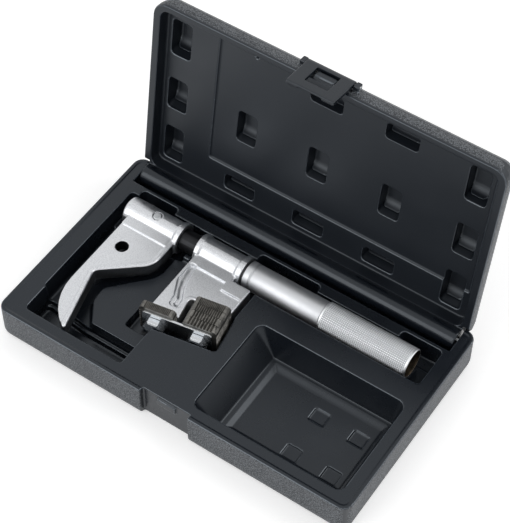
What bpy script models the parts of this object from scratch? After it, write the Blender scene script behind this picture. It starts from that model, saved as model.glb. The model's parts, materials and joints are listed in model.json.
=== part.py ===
"""External thread restorer in its moulded carrying case, with the lid open.

The tool clamps a damaged outside thread between a hooked jaw and a toothed
chaser plate. Turning the handle draws the jaw's bar into the head. Spare
chaser plates are bolted to the head in a stack. The case base holds the tool
in fitted wells, and its lid turns on two pins at the back.

Units are metres, +Z is up, and the origin is the centre of the case's
underside. The tool's axis runs along X.
"""
import math

import bmesh
import bpy
from mathutils import Matrix, Vector

# Clearances
FIT = 0.0003                    # between pieces that seat on or turn in each other
WELL_GAP = 0.0007               # between the tool's widest flange and the back wall of its well
CLEAR = 0.001                   # how far a cutter runs past the surface that it opens

# Case base: the tool and these margins give its length and width
LEFT_MARGIN = 0.0282            # case's left face to the tool's left end
RIGHT_MARGIN = 0.0327           # grip's open end to the case's right face
TIP_MARGIN = 0.0128             # case's front face to the hook's tip
BACK_MARGIN = 0.0542            # tool's axis to the case's back face
TOOL_DROP = 0.0046              # lip's top to the tool's axis
CASE_CORNER = 0.010
BASE_HEIGHT = 0.036
BASE_EDGE = 0.006               # rounding where the walls meet the underside
LIP_WIDTH = 0.004
LIP_STEP = 0.0008               # the deck lies this far below the lip
FRONT_MARGIN = 0.014            # from the case's front face to its front wells

# Hinge
HINGE_SETBACK = 0.0106          # from the case's back face to the hinge axis
HINGE_DROP = 0.0055             # lip's top to the hinge axis
HINGE_BARREL_RADIUS = 0.010
HINGE_TROUGH_FRONT = 0.0277     # from the case's back face to the trough's front edge
EAR_WIDTH = 0.0125
HINGE_PIN_RADIUS = 0.0025
HINGE_PIN_LENGTH = 0.022
LID_OPEN_ANGLE = math.radians(98.68)

# Lid, described closed
LID_SIDE_INSET = 0.0074
LID_FRONT_INSET = 0.0069
LID_HEEL = 0.0046               # how far the lid reaches behind the hinge axis
LID_GAP = 0.0004                # between the closed lid's rim and the deck
LID_DEPTH = 0.0275
LID_CROWN = 0.020               # rounding between the lid's walls and its top
LID_CORNER = 0.014
LID_EAR_RELIEF = 0.0135         # round relief that lets the lid turn past the ears
LID_RIM_WIDTH = 0.007
LID_SKIN = 0.0025               # plastic left under the deepest pockets
PANEL_DEPTH = 0.0115
PANEL_STEP = 0.0019             # the middle of the panel is this much deeper
PANEL_CORNER = 0.008
LID_STEP_LEFT = 0.110           # case's centre to the deeper panel's left edge
LID_STEP_BACK = 0.054           # case's centre to its back edge
LID_STEP_MARGIN = 0.005         # its other edges lie this far inside the panel's
POCKET_PITCH = 0.0734           # spacing of the five columns of pockets
POCKET_SHIFT = 0.002            # the columns lie this far left of the case's centre
POCKET_WIDTH = 0.020
POCKET_LENGTH = 0.034
POCKET_ROW = 0.0025             # middle row, from the case's centre
END_POCKET_LENGTH = 0.0375
END_POCKET_ROW = 0.060
WIDE_POCKET_WIDTH = 0.032
WIDE_POCKET_LENGTH = 0.016
WIDE_POCKET_ROW = 0.071
POCKET_SLOPE = 0.0045           # plan width of a pocket's sloping back wall
POCKET_CORNER = 0.003

# Latch
LATCH_X = -0.0017
LATCH_WIDTH = 0.0465
LATCH_THICKNESS = 0.0041
LATCH_DROP = 0.034              # from the latch pivot to the flap's lower edge
LATCH_PIVOT_RISE = 0.0125       # pivot above the closed lid's rim
LATCH_PIVOT_DEPTH = 0.0034      # flap's face to the pivot
LATCH_BARREL_RADIUS = 0.0032
LATCH_PIN_RADIUS = 0.0015
LATCH_LUG_WIDTH = 0.0052
LATCH_FACE_INSET = 0.001        # the flap's face lies this far behind the case's front face
WINDOW_WIDTH = 0.0224
WINDOW_SILL = 0.0095            # height of the bar under the window
SILL_THICKNESS = 0.0022
TONGUE_GAP = 0.0015             # window to the lid's tongue
CATCH_WIDTH = 0.0192
CATCH_HEIGHT = 0.0085

# Hooked jaw
BARREL_RADIUS = 0.0134
FLANGE_RADIUS = 0.015
FLANGE_WIDTH = 0.005
FLANGE_ROUND = 0.0006           # rounding of the flanges' edges
FLANGE_SLOPE = 0.0012           # from a flange's face down to the barrel
BARREL_CHAMFER = 0.0015
PLATE_THICKNESS = 0.014
HOOK_BARREL_LENGTH = 0.0558
HOOK_PLATE_INSET = 0.0065       # barrel's end to the plate's left edge
HOOK_PLATE_RIGHT = 0.0593       # barrel's end to the plate's right edge
HOOK_BACK_SHARE = 0.8664        # of the tip's reach, to where the straight back would meet the tip's line
HOOK_BACK_RADIUS = 0.055
HOOK_TIP_RIGHT = 0.0360
HOOK_TIP_REACH = 0.1430
HOOK_THROAT_RIGHT = 0.0189
HOOK_THROAT_SHARE = 0.5378      # of the tip's reach
HOOK_THROAT_RADIUS = 0.006
HOOK_SHOULDER_SHARE = 0.3028    # of the tip's reach
HOOK_SHOULDER_RADIUS = 0.021
HOOK_BEAD_WIDTH = 0.0045
HOOK_BEAD_RISE = 0.0006
BAND_WIDTH = 0.0075             # raised band along the foot of the barrel
BAND_RISE = 0.0009
HOOK_HOLE_RADIUS = 0.006
HOOK_HOLE_RIGHT = 0.0228
HOOK_HOLE_SHARE = 0.2923        # of the tip's reach
CROSS_PIN_RADIUS = 0.0042
CROSS_PIN_RIGHT = 0.0318

# Guide bar
BAR_RADIUS = 0.010
BAR_SEAT = 0.0055               # wall left at the closed end of the jaw's barrel
BAR_SCREW_RADIUS = 0.008
BAR_SCREW_LENGTH = 0.143
BAR_CHAMFER = 0.001
KEYWAY_WIDTH = 0.005
KEYWAY_DEPTH = 0.002
KEY_SCREW_RADIUS = 0.003
KEY_TIP_RADIUS = 0.0022

# Head
JAW_GAP = 0.018                 # between the jaw's flange and the head's flange
BOSS_LENGTH = 0.039
RING_WIDTH = 0.006
SPIGOT_RADIUS = 0.0102
SPIGOT_LENGTH = 0.0145
LEG_SETBACK = 0.0027            # head's left face to the leg's edge
ARM_RIGHT = 0.0179              # chaser centre to the arm's right edge
WEB_RIGHT = 0.057               # chaser centre to the web's right edge
WEB_BACK = 0.0178               # tool axis to the web's back edge beside the collar
HEAD_RECESS_DEPTH = 0.0012
HEAD_RIM = 0.003                # width of the rim round the recess
RECESS_BACK = 0.0095            # boss to the recess's back edge
RECESS_STEP = 0.0085            # the back edge steps down this much beside the boss
RECESS_LEG = 0.020              # depth of the recess on the leg
TONGUE_DEPTH = 0.010            # arm's edge to the recess's tongue
TONGUE_LEFT = 0.003             # chaser centre to the tongue's left side

# Chaser plates, in a frame turned about Z
CHASER_TILT = math.radians(10.2)
CHASER_RIGHT = 0.014            # head's left face to the working chaser's centre
CHASER_SHARE = 0.5636           # of the hook's reach, tool axis to the face that carries the working chaser
CHASER_SIDE = 0.033
CHASER_THICKNESS = 0.0073
CHASER_CORNER = 0.0045
CHASER_PITCHES = (0.0015, 0.002, 0.0025, 0.003)
SPARE_COUNT = 4
SPARE_CENTRE = 0.041            # working chaser's centre to the spares' centre
BOLT_RADIUS = 0.005
BOLT_CORE_RADIUS = 0.0042
BOLT_GRIP = 0.012               # length screwed into the casting
BOLT_HEAD_WIDTH = 0.017         # across flats
BOLT_HEAD_HEIGHT = 0.0064
CLAMP_THICKNESS = 0.002
CLAMP_HEIGHT = 0.026
CLAMP_OVERHANG = 0.0125         # past each bolt

# Collar and handle
WASHER_THICKNESS = 0.0012
COLLAR_WIDTH = 0.006
COLLAR_RADIUS = 0.0132
COLLAR_SLEEVE = 0.0045
RING_SLOT = 0.0008              # depth of the snap ring's groove
SNAP_RING_WIDTH = 0.0012
NECK_WIDTH = 0.0015
NECK_RADIUS = 0.0122
HANDLE_RADIUS = 0.013
HANDLE_PLAIN_LENGTH = 0.072
HANDLE_BORE_RADIUS = 0.0095
HANDLE_WALL = 0.0011            # wall of the tube round the nut
GRIP_RADIUS = 0.014
GRIP_WALL = 0.0014
GRIP_LENGTH = 0.089
GRIP_MOUTH = 0.017              # grip's open end past the inner tube
NUT_LENGTH = 0.030

# Wells in the base
HOOK_WELL_LEFT = 0.0089         # tool's left end to the well's left wall
HOOK_WELL_DEPTH = 0.0178        # tool's axis to the floor of the jaw's trench
PEDESTAL_GAP = 0.0007           # hooked jaw's underside to the pedestal
PIT_FLOOR = 0.0045
PIT_LEDGE = 0.0096
PIT_REACH = 0.0956              # tool's left end to the pit's right wall
PIT_WIDTH = 0.0266
PIT_SETBACK = 0.0015            # trench's left wall to the pit's left wall
PIT_STEP = 0.0045               # the pit's back wall steps back this much under the hook
PIT_STEP_LEFT = 0.018           # jaw's throat to the step's left end
PIT_STEP_RIGHT = 0.020          # jaw's throat to the step's right end
PIT_LEDGE_WIDTH = 0.0035
TRENCH_SHOULDER_GAP = 0.0048    # jaw's shoulder to the trench's right wall
TRENCH_THROAT_GAP = 0.0112      # jaw's throat to the trench's right wall
TRENCH_BEND = 0.018             # jaw's throat to the wall's bend towards the pit
TRENCH_TOE = 0.030              # jaw's throat to the trench's right end at the pit
BARREL_WELL_FRONT = 0.0025      # tool's flanges to the barrel wells' front wall
BARREL_WELL_END = 0.020         # head's right face to the barrel well's right end
BULKHEAD_GAP = 0.0091           # jaw's flange to the bulkhead that carries the bar
BULKHEAD_WIDTH = 0.0059
GRIP_WELL_FRONT = 0.0035        # grip to the well's front wall
GRIP_WELL_END = 0.0165          # grip's end to the well's right wall
SADDLE_MOUTH_DROP = 0.0035      # tool's axis to the foot of the saddle's straight mouth
CHASER_WELL_LEFT = 0.008        # working chaser to the chaser well's left wall
CHASER_WELL_FRONT = 0.0206      # working chaser's back face to the well's front wall
CHASER_WELL_BACK = 0.009        # working chaser's back face to the wall behind it
CHASER_WELL_RIGHT = 0.0035      # spare chasers to the well's right wall
CHASER_WELL_DROP = 0.0023       # chasers' lower edge to the well's floor
CHASER_WELL_GAP = 0.0007        # bolt heads to the well's sloping wall
LEG_WALL_INSET = 0.0025         # leg's left edge to the wall under it
FINGER_RECESS = 0.0075          # finger recesses behind the well's back wall
FINGER_LEFT_LENGTH = 0.0388
FINGER_MIDDLE_LENGTH = 0.0635
FINGER_RIGHT_START = 0.0235     # grip's end to the right recess's left end
TRAY_WALL = 0.0765              # working chaser to the tray's left edge
TRAY_MARGIN = 0.0145            # tray's right edge to the case's right face
TRAY_SETBACK = 0.0398           # tool's axis to the tray's back edge
TRAY_CORNER = 0.008
TRAY_SLOPE = 0.0077             # plan width of the sloping walls
TRAY_LEFT_SLOPE = 0.0204
TRAY_LEDGE = 0.0042             # plan width of the ledge
TRAY_FOOT = 0.0050              # plan width of the slope from the ledge to the floor
TRAY_RIGHT_STEP = 0.0022        # both of these at the tray's right end
TRAY_LEDGE_HEIGHT = 0.0076
TRAY_FLOOR = 0.0046
DIMPLE_DEPTH = 0.0015
DIMPLE_LENGTH = 0.015
DIMPLE_WIDTH = 0.0135
DIMPLE_LEFT = 0.0775            # tray's left edge to the first dimple
DIMPLE_FRONT = 0.0175           # tray's front edge to the first dimple
DIMPLE_SPACING = 0.039          # between the columns
DIMPLE_ROW_SPACING = 0.0429

ROUND = 32                      # facets round a large turned piece
SMALL_ROUND = 20                # facets round a small one
ARC = 4                         # facets round a moulded corner

# The tool's place in the case
tool_length = (HOOK_BARREL_LENGTH + FLANGE_WIDTH + JAW_GAP + FLANGE_WIDTH + BOSS_LENGTH + RING_WIDTH
               + WASHER_THICKNESS + 2 * FIT + COLLAR_WIDTH + NECK_WIDTH + HANDLE_PLAIN_LENGTH + GRIP_LENGTH)
case_length = LEFT_MARGIN + tool_length + RIGHT_MARGIN
case_width = TIP_MARGIN + HOOK_TIP_REACH + BACK_MARGIN
tool_left = LEFT_MARGIN - case_length / 2
axis_y = case_width / 2 - BACK_MARGIN
axis_z = BASE_HEIGHT - TOOL_DROP

# Reaches across the tool, from its axis towards the front
hook_back = HOOK_BACK_SHARE * HOOK_TIP_REACH
hook_throat = HOOK_THROAT_SHARE * HOOK_TIP_REACH
hook_shoulder = HOOK_SHOULDER_SHARE * HOOK_TIP_REACH
hook_hole = HOOK_HOLE_SHARE * HOOK_TIP_REACH
chaser_reach = CHASER_SHARE * HOOK_TIP_REACH

# Stations along the tool's axis, from left to right
hook_flange = tool_left + HOOK_BARREL_LENGTH
hook_right = hook_flange + FLANGE_WIDTH
head_left = hook_right + JAW_GAP
boss_left = head_left + FLANGE_WIDTH
ring_left = boss_left + BOSS_LENGTH
head_right = ring_left + RING_WIDTH
guide_end = head_right - 2 * CLEAR
bar_left = tool_left + BAR_SEAT + FIT
bar_shoulder = guide_end - JAW_GAP - FIT
bar_right = bar_shoulder + BAR_SCREW_LENGTH
washer_left = head_right + FIT
collar_left = washer_left + WASHER_THICKNESS + FIT
collar_right = collar_left + COLLAR_WIDTH
sleeve_end = collar_right + COLLAR_SLEEVE
snap_left = sleeve_end + FIT
spigot_end = head_right + SPIGOT_LENGTH
handle_left = collar_right + NECK_WIDTH
grip_left = handle_left + HANDLE_PLAIN_LENGTH
grip_right = grip_left + GRIP_LENGTH
tube_right = grip_right - GRIP_MOUTH
nut_left = max(snap_left + SNAP_RING_WIDTH, spigot_end) + CLEAR
nut_right = nut_left + NUT_LENGTH

# Places in the case
hinge_y = case_width / 2 - HINGE_SETBACK
hinge_z = BASE_HEIGHT - HINGE_DROP
ear_face = case_length / 2 - EAR_WIDTH
deck_height = BASE_HEIGHT - LIP_STEP
above_base = BASE_HEIGHT + 10 * CLEAR
rim_height = deck_height + LID_GAP
pin_outer = ear_face + HINGE_PIN_LENGTH / 2 - CLEAR
pin_inner = ear_face - HINGE_PIN_LENGTH / 2 - CLEAR
well_left = tool_left - HOOK_WELL_LEFT
well_back = axis_y + FLANGE_RADIUS + WELL_GAP
front_edge = -case_width / 2 + FRONT_MARGIN
bay_front = axis_y - FLANGE_RADIUS - BARREL_WELL_FRONT
barrel_floor = axis_z - FLANGE_RADIUS - FIT
bulkhead_left = hook_right + BULKHEAD_GAP
bulkhead_right = bulkhead_left + BULKHEAD_WIDTH
pedestal_height = axis_z - PLATE_THICKNESS / 2 - HOOK_BEAD_RISE - PEDESTAL_GAP
pit_right = tool_left + PIT_REACH
pit_back = front_edge + PIT_WIDTH
tray_left = head_left + CHASER_RIGHT + TRAY_WALL
tray_right = case_length / 2 - TRAY_MARGIN
tray_back = axis_y - TRAY_SETBACK

# Places across the chaser stack, towards the front
chaser_datum = Vector((head_left + CHASER_RIGHT, axis_y - chaser_reach, axis_z))
chaser_pitch = CHASER_THICKNESS + FIT
chaser_front = chaser_pitch
web_face = chaser_front - SPARE_COUNT * chaser_pitch - FIT
clamp_back = chaser_front + FIT
clamp_front = clamp_back + CLAMP_THICKNESS
bolt_seat = clamp_front + FIT
bolt_end = bolt_seat + BOLT_HEAD_HEIGHT


def material(name, colour, roughness, metallic):
    """A plain shading of one colour."""
    shade = bpy.data.materials.new(name)
    shade.use_nodes = True
    surface = shade.node_tree.nodes["Principled BSDF"]
    surface.inputs["Base Color"].default_value = (*colour, 1.0)
    surface.inputs["Roughness"].default_value = roughness
    surface.inputs["Metallic"].default_value = metallic
    return shade


def add_object(name, mesh_builder):
    """Turn a bmesh into a scene object and free it."""
    bmesh.ops.recalc_face_normals(mesh_builder, faces=mesh_builder.faces)
    mesh = bpy.data.meshes.new(name)
    mesh_builder.to_mesh(mesh)
    mesh_builder.free()
    item = bpy.data.objects.new(name, mesh)
    bpy.context.scene.collection.objects.link(item)
    return item


def combine(target, tool, operation):
    """Join a tool solid to the target, or cut the target with it."""
    modifier = target.modifiers.new("combine", "BOOLEAN")
    modifier.operation = operation
    modifier.solver = "EXACT"
    modifier.object = tool
    graph = bpy.context.evaluated_depsgraph_get()
    result = bpy.data.meshes.new_from_object(target.evaluated_get(graph))
    target.modifiers.clear()
    old = target.data
    target.data = result
    bpy.data.meshes.remove(old)
    bpy.data.objects.remove(tool)


def cut(target, *tools):
    for tool in tools:
        combine(target, tool, "DIFFERENCE")


def join(target, *tools):
    for tool in tools:
        combine(target, tool, "UNION")


def finish(item, shade):
    """Clean the solid, shade it smooth between sharp edges and give it its material."""
    builder = bmesh.new()
    builder.from_mesh(item.data)
    bmesh.ops.remove_doubles(builder, verts=builder.verts, dist=1e-6)
    bmesh.ops.dissolve_degenerate(builder, edges=builder.edges, dist=1e-6)
    bmesh.ops.recalc_face_normals(builder, faces=builder.faces)
    builder.to_mesh(item.data)
    builder.free()
    item.data.shade_smooth()
    item.data.set_sharp_from_angle(angle=math.radians(32))
    item.data.materials.clear()
    item.data.materials.append(shade)
    return item


def put_on_axis(item, pivot, angle=0.0):
    """Move an object's origin to its joint's axis and turn it there about X."""
    item.data.transform(Matrix.Translation(-Vector(pivot)))
    item.location = pivot
    item.rotation_euler = (angle, 0.0, 0.0)


def rounded(corners, steps=ARC):
    """Points of a closed outline whose corners (x, y, radius) are filleted.

    A fillet is limited to what its two sides can hold.
    """
    count = len(corners)
    places = [Vector(corner[:2]) for corner in corners]
    sides = [places[(index + 1) % count] - places[index] for index in range(count)]
    halves = [(-sides[index - 1]).angle(sides[index]) / 2 for index in range(count)]
    reaches = [corner[2] / math.tan(half) for corner, half in zip(corners, halves)]
    points = []
    for index, (_, _, radius) in enumerate(corners):
        if radius <= 0.0:
            points.append(places[index])
            continue
        before = -sides[index - 1].normalized()
        after = sides[index].normalized()
        half = halves[index]
        room_before = sides[index - 1].length / (reaches[index - 1] + reaches[index])
        room_after = sides[index].length / (reaches[index] + reaches[(index + 1) % count])
        share = min(1.0, 0.98 * room_before, 0.98 * room_after)
        centre = places[index] + (before + after).normalized() * (share * radius / math.sin(half))
        start = places[index] + before * share * reaches[index] - centre
        sweep = math.pi - 2 * half
        turn = 1.0 if before.cross(after) < 0 else -1.0
        for step in range(steps + 1):
            arm = start.copy()
            arm.rotate(Matrix.Rotation(turn * sweep * step / steps, 2))
            points.append(centre + arm)
    return points


def inset(corners, amounts):
    """Move each side of a corner list inwards; side i runs from corner i to the next."""
    count = len(corners)
    if not isinstance(amounts, (list, tuple)):
        amounts = [amounts] * count
    area = sum(corners[i - 1][0] * corners[i][1] - corners[i][0] * corners[i - 1][1] for i in range(count))
    inward = 1.0 if area > 0 else -1.0
    moved = []
    for index in range(count):
        start = Vector(corners[index][:2])
        along = Vector(corners[(index + 1) % count][:2]) - start
        along.normalize()
        normal = Vector((-along.y, along.x)) * inward
        moved.append((start + normal * amounts[index], along))
    result = []
    for index, (x, y, radius) in enumerate(corners):
        origin, along = moved[index]
        other, other_along = moved[index - 1]
        share = (other - origin).cross(other_along) / along.cross(other_along)
        meeting = origin + along * share
        bend = other_along.cross(along) * inward
        change = min(amounts[index], amounts[index - 1]) * (1.0 if bend > 0 else -1.0)
        result.append((meeting.x, meeting.y, max(radius - change, 0.0004) if radius > 0 else 0.0))
    return result


def box_corners(left, right, front, back, radius):
    return [(left, front, radius), (right, front, radius), (right, back, radius), (left, back, radius)]


def loft(name, rings):
    """A closed solid through rings of equal point counts, capped at both ends."""
    builder = bmesh.new()
    loops = [[builder.verts.new(point) for point in ring] for ring in rings]
    count = len(loops[0])
    for lower, upper in zip(loops, loops[1:]):
        for index in range(count):
            after = (index + 1) % count
            builder.faces.new((lower[index], lower[after], upper[after], upper[index]))
    builder.faces.new(list(reversed(loops[0])))
    builder.faces.new(loops[-1])
    return add_object(name, builder)


def level(corners, height, steps=ARC):
    return [(point.x, point.y, height) for point in rounded(corners, steps)]


def prism(name, corners, low, high, chamfer=0.0, steps=ARC):
    """An outline extruded in Z, with its long edges chamfered."""
    if chamfer <= 0.0:
        return loft(name, [level(corners, low, steps), level(corners, high, steps)])
    narrow = inset(corners, chamfer)
    heights = ((narrow, low), (corners, low + chamfer), (corners, high - chamfer), (narrow, high))
    return loft(name, [level(shape, height, steps) for shape, height in heights])


def well(corners, floor, draft=0.0012, fillet=0.0025, steps=ARC):
    """Cutter for a moulded pocket: drafted walls and a rounded floor."""
    foot = inset(corners, draft)
    bend = inset(corners, draft + 0.3 * fillet)
    base = inset(corners, draft + fillet)
    rings = (
        (corners, above_base),
        (corners, deck_height - CLEAR),
        (foot, floor + fillet),
        (bend, floor + 0.3 * fillet),
        (base, floor),
    )
    return loft("well", [level(shape, height, steps) for shape, height in rings])


def turned(name, profile, facets=ROUND, centre=(0.0, 0.0, 0.0)):
    """A profile of (x, radius) points revolved about the X axis through a centre."""
    builder = bmesh.new()
    closed = min(radius for _, radius in profile) > 0.0
    verts = [builder.verts.new((x, 0.0, radius)) for x, radius in profile]
    pairs = list(zip(verts, verts[1:]))
    if closed:
        pairs.append((verts[-1], verts[0]))
    edges = [builder.edges.new(pair) for pair in pairs]
    bmesh.ops.spin(builder, geom=verts + edges, cent=(0, 0, 0), axis=(1, 0, 0), angle=2 * math.pi,
                   steps=facets, use_merge=True)
    bmesh.ops.remove_doubles(builder, verts=builder.verts, dist=1e-6)
    bmesh.ops.translate(builder, verts=builder.verts, vec=centre)
    return add_object(name, builder)


def tool_turned(name, profile, facets=ROUND):
    return turned(name, profile, facets, (0.0, axis_y, axis_z))


def rod(name, start, end, radius, facets=SMALL_ROUND):
    """A plain cylinder between two points."""
    start = Vector(start)
    end = Vector(end)
    builder = bmesh.new()
    turn = (end - start).to_track_quat("Z", "Y").to_matrix().to_4x4()
    place = Matrix.Translation((start + end) / 2) @ turn
    bmesh.ops.create_cone(builder, cap_ends=True, segments=facets, radius1=radius, radius2=radius,
                          depth=(end - start).length, matrix=place)
    return add_object(name, builder)


def block(name, low, high, bevel=0.0):
    """A box between two corners, with rounded edges where asked."""
    builder = bmesh.new()
    size = Vector(high) - Vector(low)
    centre = (Vector(high) + Vector(low)) / 2
    place = Matrix.Translation(centre) @ Matrix.Diagonal((*size, 1.0))
    bmesh.ops.create_cube(builder, size=1.0, matrix=place)
    if bevel > 0.0:
        bmesh.ops.bevel(builder, geom=builder.edges, offset=bevel, segments=2, profile=0.5,
                        affect="EDGES")
    return add_object(name, builder)


def chaser_frame():
    """Local x runs along the chaser edge, y up and z towards the front."""
    along = Vector((math.cos(CHASER_TILT), math.sin(CHASER_TILT), 0.0))
    forward = Vector((math.sin(CHASER_TILT), -math.cos(CHASER_TILT), 0.0))
    turn = Matrix((along, Vector((0.0, 0.0, 1.0)), forward)).transposed().to_4x4()
    return Matrix.Translation(chaser_datum) @ turn


def chaser_point(along, forward):
    """Plan position of a place given along and in front of the working chaser's back face."""
    place = chaser_frame() @ Vector((along, 0.0, forward))
    return place.x, place.y


def in_chaser_frame(item):
    item.matrix_world = chaser_frame()
    return item


def hook_corners():
    """Outline of the jaw's plate: straight back, curved tip, throat and shoulder."""
    left = tool_left + HOOK_PLATE_INSET
    right = tool_left + HOOK_PLATE_RIGHT
    return [
        (left, axis_y, 0.0),
        (left, axis_y - hook_back, HOOK_BACK_RADIUS),
        (tool_left + HOOK_TIP_RIGHT, axis_y - HOOK_TIP_REACH, 0.002),
        (tool_left + HOOK_THROAT_RIGHT, axis_y - hook_throat, HOOK_THROAT_RADIUS),
        (right, axis_y - hook_shoulder, HOOK_SHOULDER_RADIUS),
        (right, axis_y, 0.0),
    ]


def make_hook_jaw():
    """The cast jaw: a barrel with a flange, and a plate that ends in the hook."""
    half = PLATE_THICKNESS / 2
    proud = half + HOOK_BEAD_RISE
    corners = hook_corners()
    hook = prism("hook_jaw", corners, axis_z - proud, axis_z + proud, 0.0012, 6)
    # The bead follows the inner contour: the rest of both faces lies lower.
    flat = inset(corners, [-CLEAR, -CLEAR, HOOK_BEAD_WIDTH, HOOK_BEAD_WIDTH, HOOK_BEAD_WIDTH, -CLEAR])
    for low, high in ((half, proud + CLEAR), (-proud - CLEAR, -half)):
        cut(hook, prism("face", flat, axis_z + low, axis_z + high, 0.0, 6))
    barrel = [
        (tool_left, 0.0), (tool_left, BARREL_RADIUS - BARREL_CHAMFER),
        (tool_left + BARREL_CHAMFER, BARREL_RADIUS), (hook_flange - FLANGE_SLOPE, BARREL_RADIUS),
        (hook_flange, FLANGE_RADIUS - FLANGE_ROUND), (hook_flange + FLANGE_ROUND, FLANGE_RADIUS),
        (hook_right - FLANGE_ROUND, FLANGE_RADIUS), (hook_right, FLANGE_RADIUS - FLANGE_ROUND),
        (hook_right, 0.0),
    ]
    join(hook, tool_turned("barrel", barrel))
    # A raised band runs along the foot of the barrel on both faces.
    band_left = tool_left + HOOK_PLATE_INSET + FIT
    band_front = axis_y - BARREL_RADIUS - BAND_WIDTH
    for side in (-1, 1):
        heights = sorted((axis_z + side * (half - CLEAR), axis_z + side * (half + BAND_RISE)))
        join(hook, block("band", (band_left, band_front, heights[0]),
                         (hook_flange - FLANGE_SLOPE - FIT, axis_y - 6 * CLEAR, heights[1])))
    bore = [(bar_left - FIT, 0.0), (bar_left - FIT, BAR_RADIUS + FIT),
            (hook_right + CLEAR, BAR_RADIUS + FIT), (hook_right + CLEAR, 0.0)]
    cut(hook, tool_turned("bore", bore))
    pin_x = tool_left + CROSS_PIN_RIGHT
    cut(hook, rod("pin_hole", (pin_x, axis_y, axis_z - 2 * BARREL_RADIUS),
                  (pin_x, axis_y, axis_z + 2 * BARREL_RADIUS), CROSS_PIN_RADIUS + FIT))
    hole = (tool_left + HOOK_HOLE_RIGHT, axis_y - hook_hole)
    cut(hook, rod("hole", (*hole, axis_z - 2 * proud), (*hole, axis_z + 2 * proud),
                  HOOK_HOLE_RADIUS, ROUND))
    return hook


def make_cross_pin():
    """The pin that fixes the guide bar in the jaw, with slightly domed ends."""
    length = 2 * BARREL_RADIUS - 0.0008
    half = length / 2
    profile = [(-half, 0.0), (-half, CROSS_PIN_RADIUS * 0.75), (-half + 0.0006, CROSS_PIN_RADIUS),
               (half - 0.0006, CROSS_PIN_RADIUS), (half, CROSS_PIN_RADIUS * 0.75), (half, 0.0)]
    pin = turned("jaw_cross_pin", profile, SMALL_ROUND)
    pin.data.transform(Matrix.Rotation(math.pi / 2, 4, "Y"))
    pin.location = (tool_left + CROSS_PIN_RIGHT, axis_y, axis_z)
    return pin


def make_guide_bar():
    """The bar slides in the head and carries the drawing thread at its right end."""
    profile = [
        (bar_left, 0.0), (bar_left, BAR_RADIUS - BAR_CHAMFER), (bar_left + BAR_CHAMFER, BAR_RADIUS),
        (bar_shoulder - BAR_CHAMFER, BAR_RADIUS), (bar_shoulder, BAR_RADIUS - BAR_CHAMFER),
        (bar_shoulder, BAR_SCREW_RADIUS), (bar_right - BAR_CHAMFER, BAR_SCREW_RADIUS),
        (bar_right, BAR_SCREW_RADIUS - BAR_CHAMFER), (bar_right, 0.0),
    ]
    bar = tool_turned("guide_bar", profile)
    pin_x = tool_left + CROSS_PIN_RIGHT
    cut(bar, rod("pin_hole", (pin_x, axis_y, axis_z - 2 * BAR_RADIUS),
                 (pin_x, axis_y, axis_z + 2 * BAR_RADIUS), CROSS_PIN_RADIUS + FIT))
    # The keyway runs along the underside, from the jaw to just short of the shoulder.
    low = (hook_right, axis_y - KEYWAY_WIDTH / 2, axis_z - BAR_RADIUS - CLEAR)
    high = (bar_shoulder - 2 * CLEAR, axis_y + KEYWAY_WIDTH / 2, axis_z - BAR_RADIUS + KEYWAY_DEPTH)
    cut(bar, block("keyway", low, high))
    return bar


def key_screw_x():
    """The guide screw stands between the boss's left end and the bar's shoulder."""
    return (boss_left + bar_shoulder) / 2


def make_guide_screw():
    """A headless screw whose tip runs in the bar's keyway."""
    foot = -BARREL_RADIUS + FIT
    step = -BAR_RADIUS - 2 * FIT
    tip = -BAR_RADIUS + KEYWAY_DEPTH - FIT
    profile = [(foot, 0.0), (foot, KEY_SCREW_RADIUS), (step, KEY_SCREW_RADIUS),
               (step, KEY_TIP_RADIUS), (tip, KEY_TIP_RADIUS), (tip, 0.0)]
    screw = turned("guide_screw", profile, SMALL_ROUND)
    screw.data.transform(Matrix.Rotation(-math.pi / 2, 4, "Y"))
    screw.location = (key_screw_x(), axis_y, axis_z)
    return screw


def head_corners():
    """Outline of the head's plate: leg, arm and the web behind the spare chasers."""
    leg = head_left + LEG_SETBACK
    leg_along = (leg - chaser_datum.x) / math.cos(CHASER_TILT)
    right = chaser_point(WEB_RIGHT, web_face)
    ring_middle = ring_left + RING_WIDTH / 2
    return [
        (leg, axis_y, 0.0),
        (*chaser_point(leg_along, 0.0), 0.001),
        (*chaser_point(ARM_RIGHT, 0.0), 0.001),
        (*chaser_point(ARM_RIGHT, web_face), 0.004),
        (*right, 0.0015),
        (right[0], axis_y - WEB_BACK, 0.0015),
        (ring_middle, axis_y - WEB_BACK, 0.001),
        (ring_middle, axis_y, 0.0),
    ]


def recess_corners():
    """The shallow recess in the head's face, with its tongue between leg and arm."""
    leg = head_left + LEG_SETBACK
    inner_arm = ARM_RIGHT - HEAD_RIM
    back = axis_y - BARREL_RADIUS - RECESS_BACK
    tongue = -TONGUE_DEPTH
    right = chaser_point(WEB_RIGHT - 0.5 * HEAD_RIM, web_face - 0.5 * HEAD_RIM)
    return [
        (leg + HEAD_RIM, back, 0.001),
        (leg + HEAD_RIM, back - RECESS_LEG, 0.010),
        (*chaser_point(TONGUE_LEFT, -2.15 * TONGUE_DEPTH), 0.007),
        (*chaser_point(TONGUE_LEFT, tongue), 0.003),
        (*chaser_point(inner_arm - CLEAR, tongue), 0.003),
        (*chaser_point(inner_arm, web_face - HEAD_RIM), 0.004),
        (*right, 0.002),
        (right[0], back - RECESS_STEP, 0.001),
        (ring_left - CLEAR, back - RECESS_STEP, 0.001),
        (ring_left - CLEAR, back, 0.001),
    ]


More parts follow.
